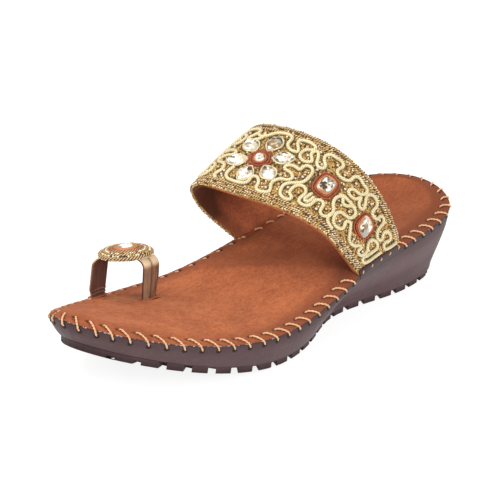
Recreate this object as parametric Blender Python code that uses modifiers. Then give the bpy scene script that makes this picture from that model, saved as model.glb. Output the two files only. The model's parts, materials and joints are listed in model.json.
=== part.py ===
"""Slip-on sandal for the left foot.

A moulded wedge sole carries a padded suede footbed, one wide jewelled strap over the
instep, and a loop for the big toe with a round medallion on it.

Frame: +Z up, toe towards -Y, little-toe side towards +X, origin on the ground in the
middle of the sandal's box. Lengths are metres; the tables are millimetres, and each
length along the sole is counted from the back of the heel.
"""

import math
from collections import namedtuple

import bmesh
import bpy
import numpy as np
from mathutils import Matrix, Vector

MM = 0.001

# Driving dimensions
LENGTH = 256.0  # rim of the sole, back of the heel to tip of the toe
GAP = 0.3  # air between neighbouring pieces
RING = 112  # points round an outline, half of them on each side
CENTRE_X = -0.75  # middle of the sandal's box, seen from above
CENTRE_S = 128.0
SHARP_ANGLE = math.radians(38.0)  # faces that meet at more than this have a hard edge

# Sole: one row for each section across the foot.
# s: place along the sole; medial, lateral: half-widths of the rim; rim: its height;
# arch: extra height of the medial rim; foot_medial, foot_lateral: how far the edge of
# the tread lies inside the rim.
SoleRow = namedtuple("SoleRow", "s medial lateral rim arch foot_medial foot_lateral")
SOLE = (
    SoleRow(0, 0.0, 0.0, 39.2, 0.0, 10.0, 10.0),
    SoleRow(6, 22.4, 20.5, 37.7, -1.2, 9.5, 9.5),
    SoleRow(16, 33.1, 30.2, 35.0, -1.4, 8.5, 8.5),
    SoleRow(32, 37.4, 34.1, 31.9, -0.8, 7.5, 7.3),
    SoleRow(55, 35.5, 35.5, 29.4, 0.0, 8.0, 7.4),
    SoleRow(80, 32.2, 37.1, 27.6, 1.5, 10.0, 12.3),
    SoleRow(105, 30.0, 39.4, 25.0, 2.7, 10.5, 14.7),
    SoleRow(130, 33.1, 42.4, 20.9, 1.5, 8.5, 9.2),
    SoleRow(155, 39.1, 44.4, 17.5, -0.2, 6.0, 4.4),
    SoleRow(180, 44.5, 44.0, 16.9, -1.2, 5.5, 4.4),
    SoleRow(200, 44.4, 38.7, 18.2, -1.1, 5.5, 4.8),
    SoleRow(220, 40.6, 29.6, 21.3, -0.7, 5.2, 5.4),
    SoleRow(236, 34.3, 18.6, 25.2, -0.5, 5.0, 5.0),
    SoleRow(249, 25.0, 7.8, 29.4, -0.2, 5.0, 5.0),
    SoleRow(LENGTH, 9.8, -9.8, 32.0, 0.0, 5.0, 5.0),
)

# Side wall of the sole, a row for each level: share of the inset reached at a share
# of the way down, at the heel, the waist and the ball.
WallRow = namedtuple("WallRow", "down heel waist ball")
WALL = (
    WallRow(0.00, 0.00, 0.00, 0.00),
    WallRow(0.12, 0.03, 0.08, -0.03),
    WallRow(0.28, 0.15, 0.32, 0.02),
    WallRow(0.45, 0.34, 0.62, 0.16),
    WallRow(0.62, 0.56, 0.86, 0.38),
    WallRow(0.78, 0.78, 1.00, 0.62),
    WallRow(0.91, 0.95, 1.04, 0.84),
    WallRow(1.00, 1.00, 1.00, 1.00),
)
WALL_STATIONS = (45.0, 98.0, 145.0)  # where the heel, waist and ball walls hold
LIP = 0.9  # the side wall overhangs the tread by this much

# Tread
TREAD = 3.4  # thickness
TREAD_CHAMFER = 0.5
SPRING_START = 160.0  # the ground is left behind here
SPRING_HEIGHT = 18.0  # height of the tread's tip
TREAD_TIP = LENGTH - 6.0
GROOVES = range(1, 23)  # on each side, counted in lug pitches from the back of the heel
DEEP_GROOVES = 20  # past these, each groove under the toe is half as deep as the one before
LUG_PITCH = 11.7  # along the edge of the tread
GROOVE_WIDTH = 3.4
GROOVE_DEPTH = 2.6
GROOVE_REACH = 15.0
GROOVE_OUTSIDE = 5.5  # part of the reach that lies outside the edge
GROOVE_SWEEP = math.radians(30.0)  # the grooves open towards the toe by this much

# Footbed: one row for each ring of its rolled edge, seen in section.
EdgeRow = namedtuple("EdgeRow", "inset up")
FOOTBED_EDGE = (
    EdgeRow(0.3, GAP + 0.1),
    EdgeRow(0.0, 0.7),
    EdgeRow(0.5, 1.15),
    EdgeRow(1.8, 1.65),
    EdgeRow(3.8, 2.1),
    EdgeRow(6.4, 2.5),
)
FOOTBED_COLUMNS = 8
HEEL_CUP = 1.8
HEEL_CUP_SPAN = (-10.0, 88.0)
TOE_CREST = 2.8
TOE_CREST_SPAN = (148.0, 246.0)

# Instep strap: the folds of its outer face from the little-toe side over the instep,
# at its front edge and at its rear edge.
FoldRow = namedtuple("FoldRow", "front_x front_z rear_x rear_z")
STRAP_FOLDS = (
    FoldRow(36.8, 33.5, 36.9, 37.0),
    FoldRow(34.3, 41.0, 35.0, 47.5),
    FoldRow(30.5, 48.5, 31.0, 58.0),
    FoldRow(22.7, 54.3, 24.3, 68.0),
    FoldRow(9.0, 58.3, 12.0, 77.3),
    FoldRow(-7.0, 59.8, -4.0, 82.3),
    FoldRow(-23.0, 61.0, -19.5, 83.3),
    FoldRow(-34.5, 60.3, -32.0, 80.5),
    FoldRow(-41.8, 54.5, -40.3, 71.5),
    FoldRow(-43.0, 46.5, -43.0, 59.0),
    FoldRow(-40.3, 39.5, -41.8, 46.5),
    FoldRow(-35.5, 33.5, -37.5, 37.0),
)
# Ends of each edge on the rim, how far it leans towards the toe as it rises, and how
# far its medial end flares towards the heel below FLARE_TOP.
StrapEdge = namedtuple("StrapEdge", "lateral_s medial_s lean flare")
STRAP_FRONT = StrapEdge(105.5, 111.0, 0.75, 0.0)
STRAP_REAR = StrapEdge(69.0, 75.0, 0.38, 7.0)
FLARE_TOP = 56.0
STRAP_WALL = 2.6
STRAP_CROWN = 0.8  # the band bulges this much between its edges
STRAP_INSET = 0.5  # its foot stands this far inside the rim
STRAP_FOOT_BLEND = 0.2  # share of its girth over which each foot is drawn onto the rim
STRAP_SEAT_DEPTH = 2.0  # the footbed is cleared this far below the strap's feet
STRAP_AROUND = 40
STRAP_ALONG = 8

# Toe loop: places of its two feet on the footbed (across, s) and heights of its folds
LOOP_LATERAL = (-19.2, 187.8)
LOOP_MEDIAL = (-41.1, 199.5)
LOOP_WIDTH = 9.6
LOOP_WALL = 1.6
LOOP_TURN = 0.04  # its width runs this far sideways for each unit towards the heel
LOOP_TOP_LATERAL = 42.2
LOOP_TOP_MEDIAL = 39.4
LOOP_LEAN = 1.5  # the medial leg comes in by this much at the top
LOOP_CORNER = 5.0
LOOP_ROOT = 2.0  # the feet go this deep into the footbed
LOOP_CLEAR = 0.6  # air round each foot, for its lean
LOOP_SLOT_RISE = 4.0  # the slots are cut this far above the feet's places
LOOP_FOOT_LATERAL = 23.0
LOOP_FOOT_MEDIAL = 20.8

# Medallion
DISC_SHARE = 0.5  # its centre, as a share of the way over the top of the loop
DISC_RADIUS = 12.8
DISC_EDGE = 2.2
DISC_DOME = 3.2
DISC_STEPS = 32

# Stones: flower on the crown of the strap, two cushion-cut stones on each side of it
FLOWER_PLACE = (0.535, 0.49)  # share of the way round the strap, front to rear
FLOWER_RADIUS = 11.0
FLOWER_TURN = math.radians(23.0)
PETALS = 6
PETAL_SIZE = (9.6, 6.4, 2.2)
CENTRE_STONE_SIZE = (5.4, 5.4, 2.4)
CUSHION_PLACES = ((0.145, 0.5), (0.315, 0.51), (0.755, 0.51), (0.915, 0.5))
CUSHION_SIZE = (8.2, 10.6, 2.6)
TOE_STONE_SIZE = (7.0, 7.0, 2.4)
STONE_CUT = ((1.0, 0.0), (1.0, 0.35), (0.82, 0.8), (0.55, 1.0))  # width and height shares
STONE_LIFT = 0.35  # flat backs of the stones over the curved strap
STONE_GRID = (200, 60)  # fine grid of the strap on which they are placed

# Finishes: base colour, roughness, metallic
Finish = namedtuple("Finish", "colour roughness metallic")
TREAD_RUBBER = Finish((0.060, 0.034, 0.032), 0.62, 0.0)
WALL_RUBBER = Finish((0.115, 0.070, 0.072), 0.42, 0.0)
SUEDE = Finish((0.42, 0.155, 0.060), 0.92, 0.0)
GOLD_CLOTH = Finish((0.78, 0.58, 0.27), 0.45, 0.55)
BRONZE_LEATHER = Finish((0.42, 0.27, 0.14), 0.42, 0.6)
GOLD_BEADS = Finish((0.75, 0.52, 0.22), 0.35, 0.8)
CLEAR_STONE = Finish((0.92, 0.90, 0.86), 0.08, 0.2)


# Curves

def spline_slopes(knots, points, closed):
    """Slopes at the points of the smooth cubic curve through them."""
    count = len(points)
    steps = np.diff(knots)
    system = np.zeros((count, count))
    right = np.zeros(points.shape)
    for i in range(count) if closed else range(1, count - 1):
        before = i - 1
        after = (i + 1) % count
        step_before = steps[before]
        step_after = steps[i]
        rise_before = (points[i] - points[before]) / step_before
        rise_after = (points[after] - points[i]) / step_after
        system[i, before] += step_after
        system[i, i] += 2.0 * (step_before + step_after)
        system[i, after] += step_before
        right[i] = 3.0 * (step_after * rise_before + step_before * rise_after)
    if not closed:
        system[0, 0], system[0, 1] = 2.0, 1.0
        right[0] = 3.0 * (points[1] - points[0]) / steps[0]
        system[-1, -1], system[-1, -2] = 2.0, 1.0
        right[-1] = 3.0 * (points[-1] - points[-2]) / steps[-1]
    return np.linalg.solve(system, right)


def smooth_curve(points, closed=False, fine=24):
    """Dense points of the smooth curve through the given ones, spaced by their chords.

    Only the first two columns set the spacing, so that heights and insets may ride along.
    """
    points = np.asarray(points, dtype=float)
    loop = np.vstack([points, points[:1]]) if closed else points
    chords = np.linalg.norm(np.diff(loop[:, :2], axis=0), axis=1)
    knots = np.concatenate([[0.0], np.cumsum(chords)])
    slopes = spline_slopes(knots, points, closed)
    if closed:
        slopes = np.vstack([slopes, slopes[:1]])
    share = np.linspace(0.0, 1.0, fine, endpoint=False)[:, None]
    pieces = []
    for i, step in enumerate(chords):
        start, end = loop[i], loop[i + 1]
        leave, arrive = slopes[i] * step, slopes[i + 1] * step
        bend = start * (2 * share**3 - 3 * share**2 + 1) + end * (3 * share**2 - 2 * share**3)
        pieces.append(bend + leave * (share**3 - 2 * share**2 + share) + arrive * (share**3 - share**2))
    return np.vstack(pieces + [loop[-1:]])


def even_points(curve, count, columns=2):
    """Points at even distances along a dense curve, both ends included."""
    runs = np.linalg.norm(np.diff(curve[:, :columns], axis=0), axis=1)
    length = np.concatenate([[0.0], np.cumsum(runs)])
    wanted = np.linspace(0.0, length[-1], count)
    return np.stack([np.interp(wanted, length, curve[:, k]) for k in range(curve.shape[1])], axis=1)


def window(s, span):
    """Smooth bump: 1 in the middle of the span, 0 at its ends and outside."""
    share = np.clip((s - span[0]) / (span[1] - span[0]), 0.0, 1.0)
    return math.sin(math.pi * share) ** 2


def spot(across, s, height):
    """World position, in metres, of a place on the sandal."""
    return Vector(((across - CENTRE_X) * MM, (CENTRE_S - s) * MM, height * MM))


# Sole outlines

def rim_curve():
    """Closed rim of the sole: across, s, height and inset of the tread."""
    medial = [(-row.medial, row.s, row.rim + row.arch, row.foot_medial) for row in SOLE]
    lateral = [(row.lateral, row.s, row.rim, row.foot_lateral) for row in SOLE[-2:0:-1]]
    return smooth_curve(medial + lateral, closed=True)


def rim_sides():
    """Medial and lateral halves of the rim, each from the heel to the toe."""
    curve = rim_curve()
    toe = int(np.argmax(curve[:, 1]))
    return curve[: toe + 1], curve[toe:][::-1]


def rim_ring():
    """RING points round the rim: heel back first, medial side, toe tip, lateral side."""
    medial, lateral = rim_sides()
    half = RING // 2
    there = even_points(medial, half + 1)
    back = even_points(lateral, half + 1)[::-1]
    return np.vstack([there[:-1], back[:-1]])


def inset_ring(ring, inset):
    """Ring moved inwards, level, by an inset in millimetres for each of its points."""
    along = np.roll(ring[:, :2], -1, axis=0) - np.roll(ring[:, :2], 1, axis=0)
    along /= np.linalg.norm(along, axis=1)[:, None]
    inward = np.stack([along[:, 1], -along[:, 0]], axis=1)
    moved = ring.copy()
    moved[:, :2] += inward * np.broadcast_to(inset, len(ring))[:, None]
    return moved


def ground(s):
    """Height of the tread's underside at s."""
    share = np.clip((s - SPRING_START) / (TREAD_TIP - SPRING_START), 0.0, None)
    return SPRING_HEIGHT * share**2


def wall_share(row, s):
    """Share of the inset reached by one level of the side wall at s."""
    return np.interp(s, WALL_STATIONS, (row.heel, row.waist, row.ball))


# Meshes

def make_material(name, finish):
    """Principled material with a plain finish."""
    material = bpy.data.materials.new(name)
    material.use_nodes = True
    shader = material.node_tree.nodes["Principled BSDF"]
    shader.inputs["Base Color"].default_value = (*finish.colour, 1.0)
    shader.inputs["Roughness"].default_value = finish.roughness
    shader.inputs["Metallic"].default_value = finish.metallic
    return material


def add_object(name, bm, collection, finish=None):
    """Object from a bmesh, smooth on its round faces; a cutter has no finish."""
    bmesh.ops.recalc_face_normals(bm, faces=bm.faces)
    mesh = bpy.data.meshes.new(name)
    bm.to_mesh(mesh)
    bm.free()
    mesh.shade_smooth()
    mesh.set_sharp_from_angle(angle=SHARP_ANGLE)
    obj = bpy.data.objects.new(name, mesh)
    collection.objects.link(obj)
    if finish is None:
        obj.hide_render = True
        obj.display_type = "WIRE"
    else:
        mesh.materials.append(make_material(name, finish))
    return obj


def join_rings(bm, rings):
    """Quads between each ring of vertices and the next."""
    for upper, lower in zip(rings, rings[1:]):
        count = len(upper)
        for i in range(count):
            k = (i + 1) % count
            bm.faces.new((upper[i], upper[k], lower[k], lower[i]))


def cap_ring(bm, ring, columns=1, lift=None):
    """Close a ring from side to side, with a lifted surface between if asked."""
    half = len(ring) // 2
    rows = []
    for i in range(1, half):
        left, right = ring[i], ring[-i]
        row = [left]
        for column in range(1, columns):
            share = column / columns
            place = left.co.lerp(right.co, share)
            if lift:
                place = place + Vector((0.0, 0.0, lift(place, 2.0 * share - 1.0)))
            row.append(bm.verts.new(place))
        rows.append(row + [right])
    for near, far in zip(rows, rows[1:]):
        for column in range(columns):
            bm.faces.new((near[column], near[column + 1], far[column + 1], far[column]))
    for tip, row in ((ring[0], rows[0]), (ring[half], rows[-1])):
        for column in range(columns):
            bm.faces.new((tip, row[column], row[column + 1]))


def ring_vertices(bm, ring, heights):
    """Vertices of a ring at the given heights."""
    return [bm.verts.new(spot(x, s, z)) for x, s, z in zip(ring[:, 0], ring[:, 1], heights)]


def grid_solid(outer, inner):
    """Closed wall between two grids of positions of the same size."""
    bm = bmesh.new()
    faces = [[[bm.verts.new(place) for place in row] for row in grid] for grid in (outer, inner)]
    rows = len(outer)
    columns = len(outer[0])
    for grid in faces:
        for i in range(rows - 1):
            for j in range(columns - 1):
                bm.faces.new((grid[i][j], grid[i][j + 1], grid[i + 1][j + 1], grid[i + 1][j]))
    skin, lining = faces
    for i in (0, rows - 1):
        for j in range(columns - 1):
            bm.faces.new((skin[i][j], skin[i][j + 1], lining[i][j + 1], lining[i][j]))
    for j in (0, columns - 1):
        for i in range(rows - 1):
            bm.faces.new((skin[i][j], skin[i + 1][j], lining[i + 1][j], lining[i][j]))
    return bm


def cut_away(obj, cutter):
    """Cut the cutter out of the object."""
    modifier = obj.modifiers.new("cut_" + cutter.name, "BOOLEAN")
    modifier.operation = "DIFFERENCE"
    modifier.solver = "EXACT"
    modifier.object = cutter


# Sole

def build_midsole(parts):
    """Moulded wedge: flat shelf on top, wall hollowed at the waist, tucked in at the heel."""
    bm = bmesh.new()
    ring = rim_ring()
    foot = ring[:, 3] - LIP
    bottom = inset_ring(ring, foot)
    base = ground(bottom[:, 1]) + TREAD + GAP
    rings = []
    for row in WALL:
        level = inset_ring(ring, foot * wall_share(row, ring[:, 1]))
        heights = ring[:, 2] + (base - ring[:, 2]) * row.down
        rings.append(ring_vertices(bm, level, heights))
    join_rings(bm, rings)
    cap_ring(bm, rings[0])
    cap_ring(bm, rings[-1])
    return add_object("midsole", bm, parts, WALL_RUBBER)


def build_outsole(parts, cutters):
    """Rubber tread with lugs along both edges and toe spring."""
    bm = bmesh.new()
    ring = rim_ring()
    edge = inset_ring(ring, ring[:, 3])
    sole = inset_ring(ring, ring[:, 3] + TREAD_CHAMFER)
    rings = [
        ring_vertices(bm, edge, ground(edge[:, 1]) + TREAD),
        ring_vertices(bm, edge, ground(edge[:, 1]) + TREAD_CHAMFER),
        ring_vertices(bm, sole, ground(sole[:, 1])),
    ]
    join_rings(bm, rings)
    cap_ring(bm, rings[0])
    cap_ring(bm, rings[-1])
    tread = add_object("outsole", bm, parts, TREAD_RUBBER)
    cut_away(tread, build_groove_cutters(ring, cutters))
    return tread


def build_groove_cutters(ring, cutters):
    """Square bars across both edges of the tread, one lug pitch apart, swept to the toe."""
    bm = bmesh.new()
    edge = inset_ring(ring, ring[:, 3])[:, :2]
    half = RING // 2
    for side, hand in ((edge[: half + 1], 1.0), (np.vstack([edge[:1], edge[half:][::-1]]), -1.0)):
        runs = np.linalg.norm(np.diff(side, axis=0), axis=1)
        length = np.concatenate([[0.0], np.cumsum(runs)])
        slope = np.gradient(side, length, axis=0)
        for number in GROOVES:
            depth = GROOVE_DEPTH * 0.5 ** max(number - DEEP_GROOVES, 0)
            size = Matrix.Diagonal((GROOVE_REACH * MM, GROOVE_WIDTH * MM, 2 * depth * MM, 1.0))
            reached = (number + 0.5) * LUG_PITCH
            across, s = (np.interp(reached, length, side[:, k]) for k in (0, 1))
            along = np.array([np.interp(reached, length, slope[:, k]) for k in (0, 1)])
            along /= np.linalg.norm(along)
            inward = np.array((along[1], -along[0])) * hand
            inward = inward * math.cos(GROOVE_SWEEP) - along * math.sin(GROOVE_SWEEP)
            middle = np.array((across, s)) + inward * (GROOVE_REACH / 2 - GROOVE_OUTSIDE)
            rise = (ground(s + 1.0) - ground(s - 1.0)) / 2.0
            turn = Matrix.Rotation(math.atan2(-inward[1], inward[0]), 4, "Z")
            tilt = Matrix.Rotation(-math.atan(rise), 4, "X")
            place = Matrix.Translation(spot(middle[0], middle[1], ground(s)))
            bmesh.ops.create_cube(bm, size=1.0, matrix=place @ tilt @ turn @ size)
    return add_object("groove_cutters", bm, cutters)


# Footbed

def footbed_lift(place, share):
    """Height added to the footbed between its edges: heel seat and toe crest."""
    s = CENTRE_S - place.y / MM
    hollow = (1.0 - share**2) * MM
    return hollow * (TOE_CREST * window(s, TOE_CREST_SPAN) - HEEL_CUP * window(s, HEEL_CUP_SPAN))


def build_insole(parts, cutters):
    """Padded footbed with a rolled edge, notched for the strap and slit for the loop."""
    bm = bmesh.new()
    ring = rim_ring()
    rings = [ring_vertices(bm, inset_ring(ring, row.inset), ring[:, 2] + row.up) for row in FOOTBED_EDGE]
    join_rings(bm, rings)
    cap_ring(bm, rings[0])
    cap_ring(bm, rings[-1], FOOTBED_COLUMNS, footbed_lift)
    footbed = add_object("insole", bm, parts, SUEDE)
    cut_away(footbed, build_strap_seat("lateral", cutters))
    cut_away(footbed, build_strap_seat("medial", cutters))
    cut_away(footbed, build_loop_slits(cutters))
    return footbed


# Instep strap

def rim_point(side, s):
    """Place on the rim at s, on one side, moved in by the strap's inset: x, s, height."""
    medial, lateral = rim_sides()
    curve = medial if side == "medial" else lateral
    order = np.argsort(curve[:, 1])
    x, z = (np.interp(s, curve[order, 1], curve[order, k]) for k in (0, 2))
    inward = 1.0 if side == "medial" else -1.0
    return np.array((x + inward * STRAP_INSET, s, z + GAP + 0.1))


def strap_edge(edge, folds):
    """Dense curve of one edge of the strap: across, s, height, from lateral to medial."""
    lateral = rim_point("lateral", edge.lateral_s)
    medial = rim_point("medial", edge.medial_s)
    points = [lateral]
    for x, z in folds:
        share = (lateral[0] - x) / (lateral[0] - medial[0])
        foot_s = lateral[1] + (medial[1] - lateral[1]) * share
        foot_z = lateral[2] + (medial[2] - lateral[2]) * share
        points.append(np.array((x, foot_s + edge.lean * (z - foot_z), z)))
    points.append(medial)
    places = np.array(points)[:, [0, 2, 1]]
    return smooth_curve(places)[:, [0, 2, 1]]


def flared(points, edge):
    """Even points of an edge with the medial end moved towards the heel."""
    half = len(points) // 2
    down = np.clip((FLARE_TOP - points[half:, 2]) / (FLARE_TOP - points[-1, 2]), 0.0, 1.0)
    points[half:, 1] -= edge.flare * down**1.5
    return points


def strap_surface(around, along):
    """Grid of places on the strap's outer face and the unit normals there."""
    front = strap_edge(STRAP_FRONT, [(row.front_x, row.front_z) for row in STRAP_FOLDS])
    rear = strap_edge(STRAP_REAR, [(row.rear_x, row.rear_z) for row in STRAP_FOLDS])
    front = flared(even_points(front, around + 1, 3), STRAP_FRONT)
    rear = flared(even_points(rear, around + 1, 3), STRAP_REAR)
    share = np.linspace(0.0, 1.0, along + 1)
    grid = front[:, None] * (1.0 - share)[None, :, None] + rear[:, None] * share[None, :, None]
    for side, foot in (("lateral", 0), ("medial", around)):
        wanted = np.array([rim_point(side, s) for s in grid[foot, :, 1]])
        shift = wanted - grid[foot]
        for i in range(around + 1):
            fade = max(0.0, 1.0 - abs(i - foot) / (STRAP_FOOT_BLEND * around)) ** 2
            grid[i] += shift * fade
    rise = STRAP_CROWN * 4.0 * share * (1.0 - share)
    fade = np.sin(np.pi * np.linspace(0.0, 1.0, around + 1)) ** 0.5
    normals = grid_normals(grid)
    grid = grid + normals * (fade[:, None] * rise[None, :])[:, :, None]
    return grid, grid_normals(grid)


def grid_normals(grid):
    """Unit normals of a grid of places, pointing out of the strap."""
    around = np.gradient(grid, axis=0)
    along = np.gradient(grid, axis=1)
    normals = np.cross(along, around)
    normals /= np.linalg.norm(normals, axis=2)[:, :, None]
    middle = normals[len(grid) // 2, grid.shape[1] // 2]
    return normals if middle[2] > 0 else -normals


def strap_walls(pad_in=0.0):
    """Outer and inner grids of the strap in millimetres, with a level foot at each end."""
    outer, normals = strap_surface(STRAP_AROUND, STRAP_ALONG)
    inner = outer - normals * (STRAP_WALL + pad_in)
    for foot in (0, STRAP_AROUND):
        level = normals[foot].copy()
        level[:, 2] = 0.0
        reach = np.linalg.norm(level, axis=1)
        level /= reach[:, None]
        inner[foot] = outer[foot] - level * ((STRAP_WALL + pad_in) / reach)[:, None]
    return outer, inner


def to_places(grid):
    """Grid of world positions from a grid in millimetres."""
    return [[spot(*place) for place in row] for row in grid]


def build_strap(parts):
    """Wide band over the instep, one hollow wall open at both ends."""
    outer, inner = strap_walls()
    bm = grid_solid(to_places(outer), to_places(inner))
    return add_object("instep_strap", bm, parts, GOLD_CLOTH)


def build_strap_seat(side, cutters):
    """Block that clears the footbed for one foot of the strap."""
    outer, inner = strap_walls(pad_in=GAP)
    rows = [0, 1, 2] if side == "lateral" else [STRAP_AROUND, STRAP_AROUND - 1, STRAP_AROUND - 2]
    outside = outer[rows] + (outer[rows[0]] - inner[rows[0]])
    grids = []
    for grid in (outside, inner[rows]):
        under = grid[:1] - (0.0, 0.0, STRAP_SEAT_DEPTH)
        block = np.concatenate([under, grid])
        block[:, 0, 1] += 2 * GAP
        block[:, -1, 1] -= 2 * GAP
        grids.append(to_places(block))
    return add_object("strap_seat_" + side, grid_solid(*grids), cutters)


# Toe loop

def fillet(corner, before, after, radius, steps=6):
    """Arc that rounds a corner of a flat path."""
    toward = (before - corner) / np.linalg.norm(before - corner)
    away = (after - corner) / np.linalg.norm(after - corner)
    half = math.acos(float(toward @ away)) / 2.0
    axis = (toward + away) / np.linalg.norm(toward + away)
    centre = corner + axis * radius / math.sin(half)
    start = corner + toward * radius / math.tan(half) - centre
    side = math.copysign(1.0, toward[1] * away[0] - toward[0] * away[1])
    points = []
    for k in range(steps + 1):
        angle = side * (math.pi - 2.0 * half) * k / steps
        cosine, sine = math.cos(angle), math.sin(angle)
        points.append(centre + (start[0] * cosine - start[1] * sine, start[0] * sine + start[1] * cosine))
    return points


def loop_chord():
    """Length and level direction of the line from the lateral foot to the medial foot."""
    lateral = np.array(LOOP_LATERAL)
    step = np.array(LOOP_MEDIAL) - lateral
    return float(np.linalg.norm(step)), step / np.linalg.norm(step)


def loop_path():
    """Middle line of the loop in its own plane: distance along the chord, height."""
    chord, _ = loop_chord()
    folds = [
        np.array((0.0, LOOP_FOOT_LATERAL - LOOP_ROOT)),
        np.array((0.0, LOOP_TOP_LATERAL)),
        np.array((chord - LOOP_LEAN, LOOP_TOP_MEDIAL)),
        np.array((chord, LOOP_FOOT_MEDIAL - LOOP_ROOT)),
    ]
    path = [folds[0]]
    path += fillet(folds[1], folds[0], folds[2], LOOP_CORNER)
    path += fillet(folds[2], folds[1], folds[3], LOOP_CORNER)
    return np.array(path + [folds[3]])


def loop_width_axis():
    """Level unit direction of the strip's width: across, s."""
    axis = np.array((LOOP_TURN, -1.0))
    return axis / np.linalg.norm(axis)


def build_toe_loop(parts):
    """Folded strip round the big toe, its two feet let into the footbed."""
    path = loop_path()
    along = np.gradient(path, axis=0)
    along /= np.linalg.norm(along, axis=1)[:, None]
    out = np.stack([-along[:, 1], along[:, 0]], axis=1)
    _, chord = loop_chord()
    width = loop_width_axis() * LOOP_WIDTH / 2
    grids = []
    for side in (1.0, -1.0):
        line = path + out * side * LOOP_WALL / 2
        rows = []
        for distance, height in line:
            middle = np.array(LOOP_LATERAL) + chord * distance
            rows.append([spot(*(middle + width * end), height) for end in (-1.0, 1.0)])
        grids.append(rows)
    bm = grid_solid(*grids)
    return add_object("toe_loop", bm, parts, BRONZE_LEATHER)


def build_loop_slits(cutters):
    """Two slots in the footbed for the feet of the loop."""
    bm = bmesh.new()
    width = loop_width_axis()
    turn = Matrix.Rotation(math.atan2(-width[1], width[0]) - math.pi / 2, 4, "Z")
    for foot, height in ((LOOP_LATERAL, LOOP_FOOT_LATERAL), (LOOP_MEDIAL, LOOP_FOOT_MEDIAL)):
        low = height - LOOP_ROOT - GAP
        high = height + LOOP_SLOT_RISE
        size = Matrix.Diagonal(
            ((LOOP_WALL + 2 * LOOP_CLEAR) * MM, (LOOP_WIDTH + 2 * LOOP_CLEAR) * MM, (high - low) * MM, 1.0)
        )
        place = Matrix.Translation(spot(*foot, (low + high) / 2))
        bmesh.ops.create_cube(bm, size=1.0, matrix=place @ turn @ size)
    return add_object("loop_slits", bm, cutters)


# Medallion

def disc_frame():
    """Centre on top of the loop, and its normal, in world metres."""
    chord, direction = loop_chord()
    rise = (LOOP_TOP_MEDIAL - LOOP_TOP_LATERAL) / (chord - LOOP_LEAN)
    slope = Vector((direction[0], -direction[1], rise)).normalized()
    width = loop_width_axis()
    normal = slope.cross(Vector((width[0], -width[1], 0.0))).normalized()
    if normal.z < 0:
        normal.negate()
    middle = np.array(LOOP_LATERAL) + direction * (chord - LOOP_LEAN) * DISC_SHARE
    top = spot(*middle, LOOP_TOP_LATERAL + (LOOP_TOP_MEDIAL - LOOP_TOP_LATERAL) * DISC_SHARE)
    return top + normal * (LOOP_WALL / 2 + GAP) * MM, normal


def build_medallion(parts):
    """Round domed disc with a flat seat for its stone, turned about its own axis."""
    profile = (
        (0.0, DISC_DOME),
        (TOE_STONE_SIZE[0] / 2 + 0.5, DISC_DOME),
        (DISC_RADIUS * 0.72, DISC_DOME - 0.2),
        (DISC_RADIUS * 0.92, DISC_EDGE),
        (DISC_RADIUS, DISC_EDGE * 0.55),
        (DISC_RADIUS * 0.97, 0.0),
        (0.0, 0.0),
    )
    bm = bmesh.new()
    line = [bm.verts.new((radius * MM, 0.0, height * MM)) for radius, height in profile]
    for first, second in zip(line, line[1:]):
        bm.edges.new((first, second))
    centre, normal = disc_frame()
    disc = add_object("toe_medallion", bm, parts, GOLD_BEADS)
    screw = disc.modifiers.new("turn", "SCREW")
    screw.steps = DISC_STEPS
    screw.render_steps = DISC_STEPS
    screw.use_merge_vertices = True
    screw.merge_threshold = 0.00001
    disc.location = centre
    disc.rotation_euler = normal.to_track_quat("Z", "Y").to_euler()
    return disc


# Stones

def round_outline(length, width, count=12):
    """Ellipse."""
    return [
        (length / 2 * math.cos(math.tau * k / count), width / 2 * math.sin(math.tau * k / count))
        for k in range(count)
    ]


def cushion_outline(length, width, count=16, power=0.55):
    """Square with bowed sides and round corners."""
    points = []
    for k in range(count):
        angle = math.tau * (k + 0.5) / count
        cosine, sine = math.cos(angle), math.sin(angle)
        points.append(
            (
                length / 2 * math.copysign(abs(cosine) ** power, cosine),
                width / 2 * math.copysign(abs(sine) ** power, sine),
            )
        )
    return points


def petal_outline(length, width, steps=6):
    """Lens with two pointed ends, made of two arcs."""
    side = [
        (length / 2 * (1 - 2 * k / steps), width / 2 * math.sin(math.pi * k / steps) ** 0.85)
        for k in range(1, steps)
    ]
    return [(length / 2, 0.0)] + side + [(-length / 2, 0.0)] + [(-x, -y) for x, y in side]


def build_stone(name, parts, outline, height, frame):
    """Cut stone: upright girdle, sloped crown and flat table, on a flat back."""
    bm = bmesh.new()
    rings = [
        [bm.verts.new((x * scale * MM, y * scale * MM, height * up * MM)) for x, y in outline]
        for scale, up in STONE_CUT
    ]
    join_rings(bm, rings)
    bm.faces.new(rings[0])
    bm.faces.new(rings[-1])
    stone = add_object(name, bm, parts, CLEAR_STONE)
    stone.matrix_world = frame
    return stone


def strap_frame(around, along):
    """Frame on the strap: X round the foot, Y towards the toe, Z out."""
    grid, normals = strap_surface(*STONE_GRID)
    i, j = round(around * STONE_GRID[0]), round(along * STONE_GRID[1])
    origin = spot(*grid[i, j])
    normal = Vector((normals[i, j][0], -normals[i, j][1], normals[i, j][2])).normalized()
    step = spot(*grid[i + 1, j]) - spot(*grid[i - 1, j])
    x_axis = (step - normal * step.dot(normal)).normalized()
    y_axis = normal.cross(x_axis)
    frame = Matrix((x_axis, y_axis, normal)).transposed().to_4x4()
    frame.translation = origin + normal * STONE_LIFT * MM
    return frame


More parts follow.
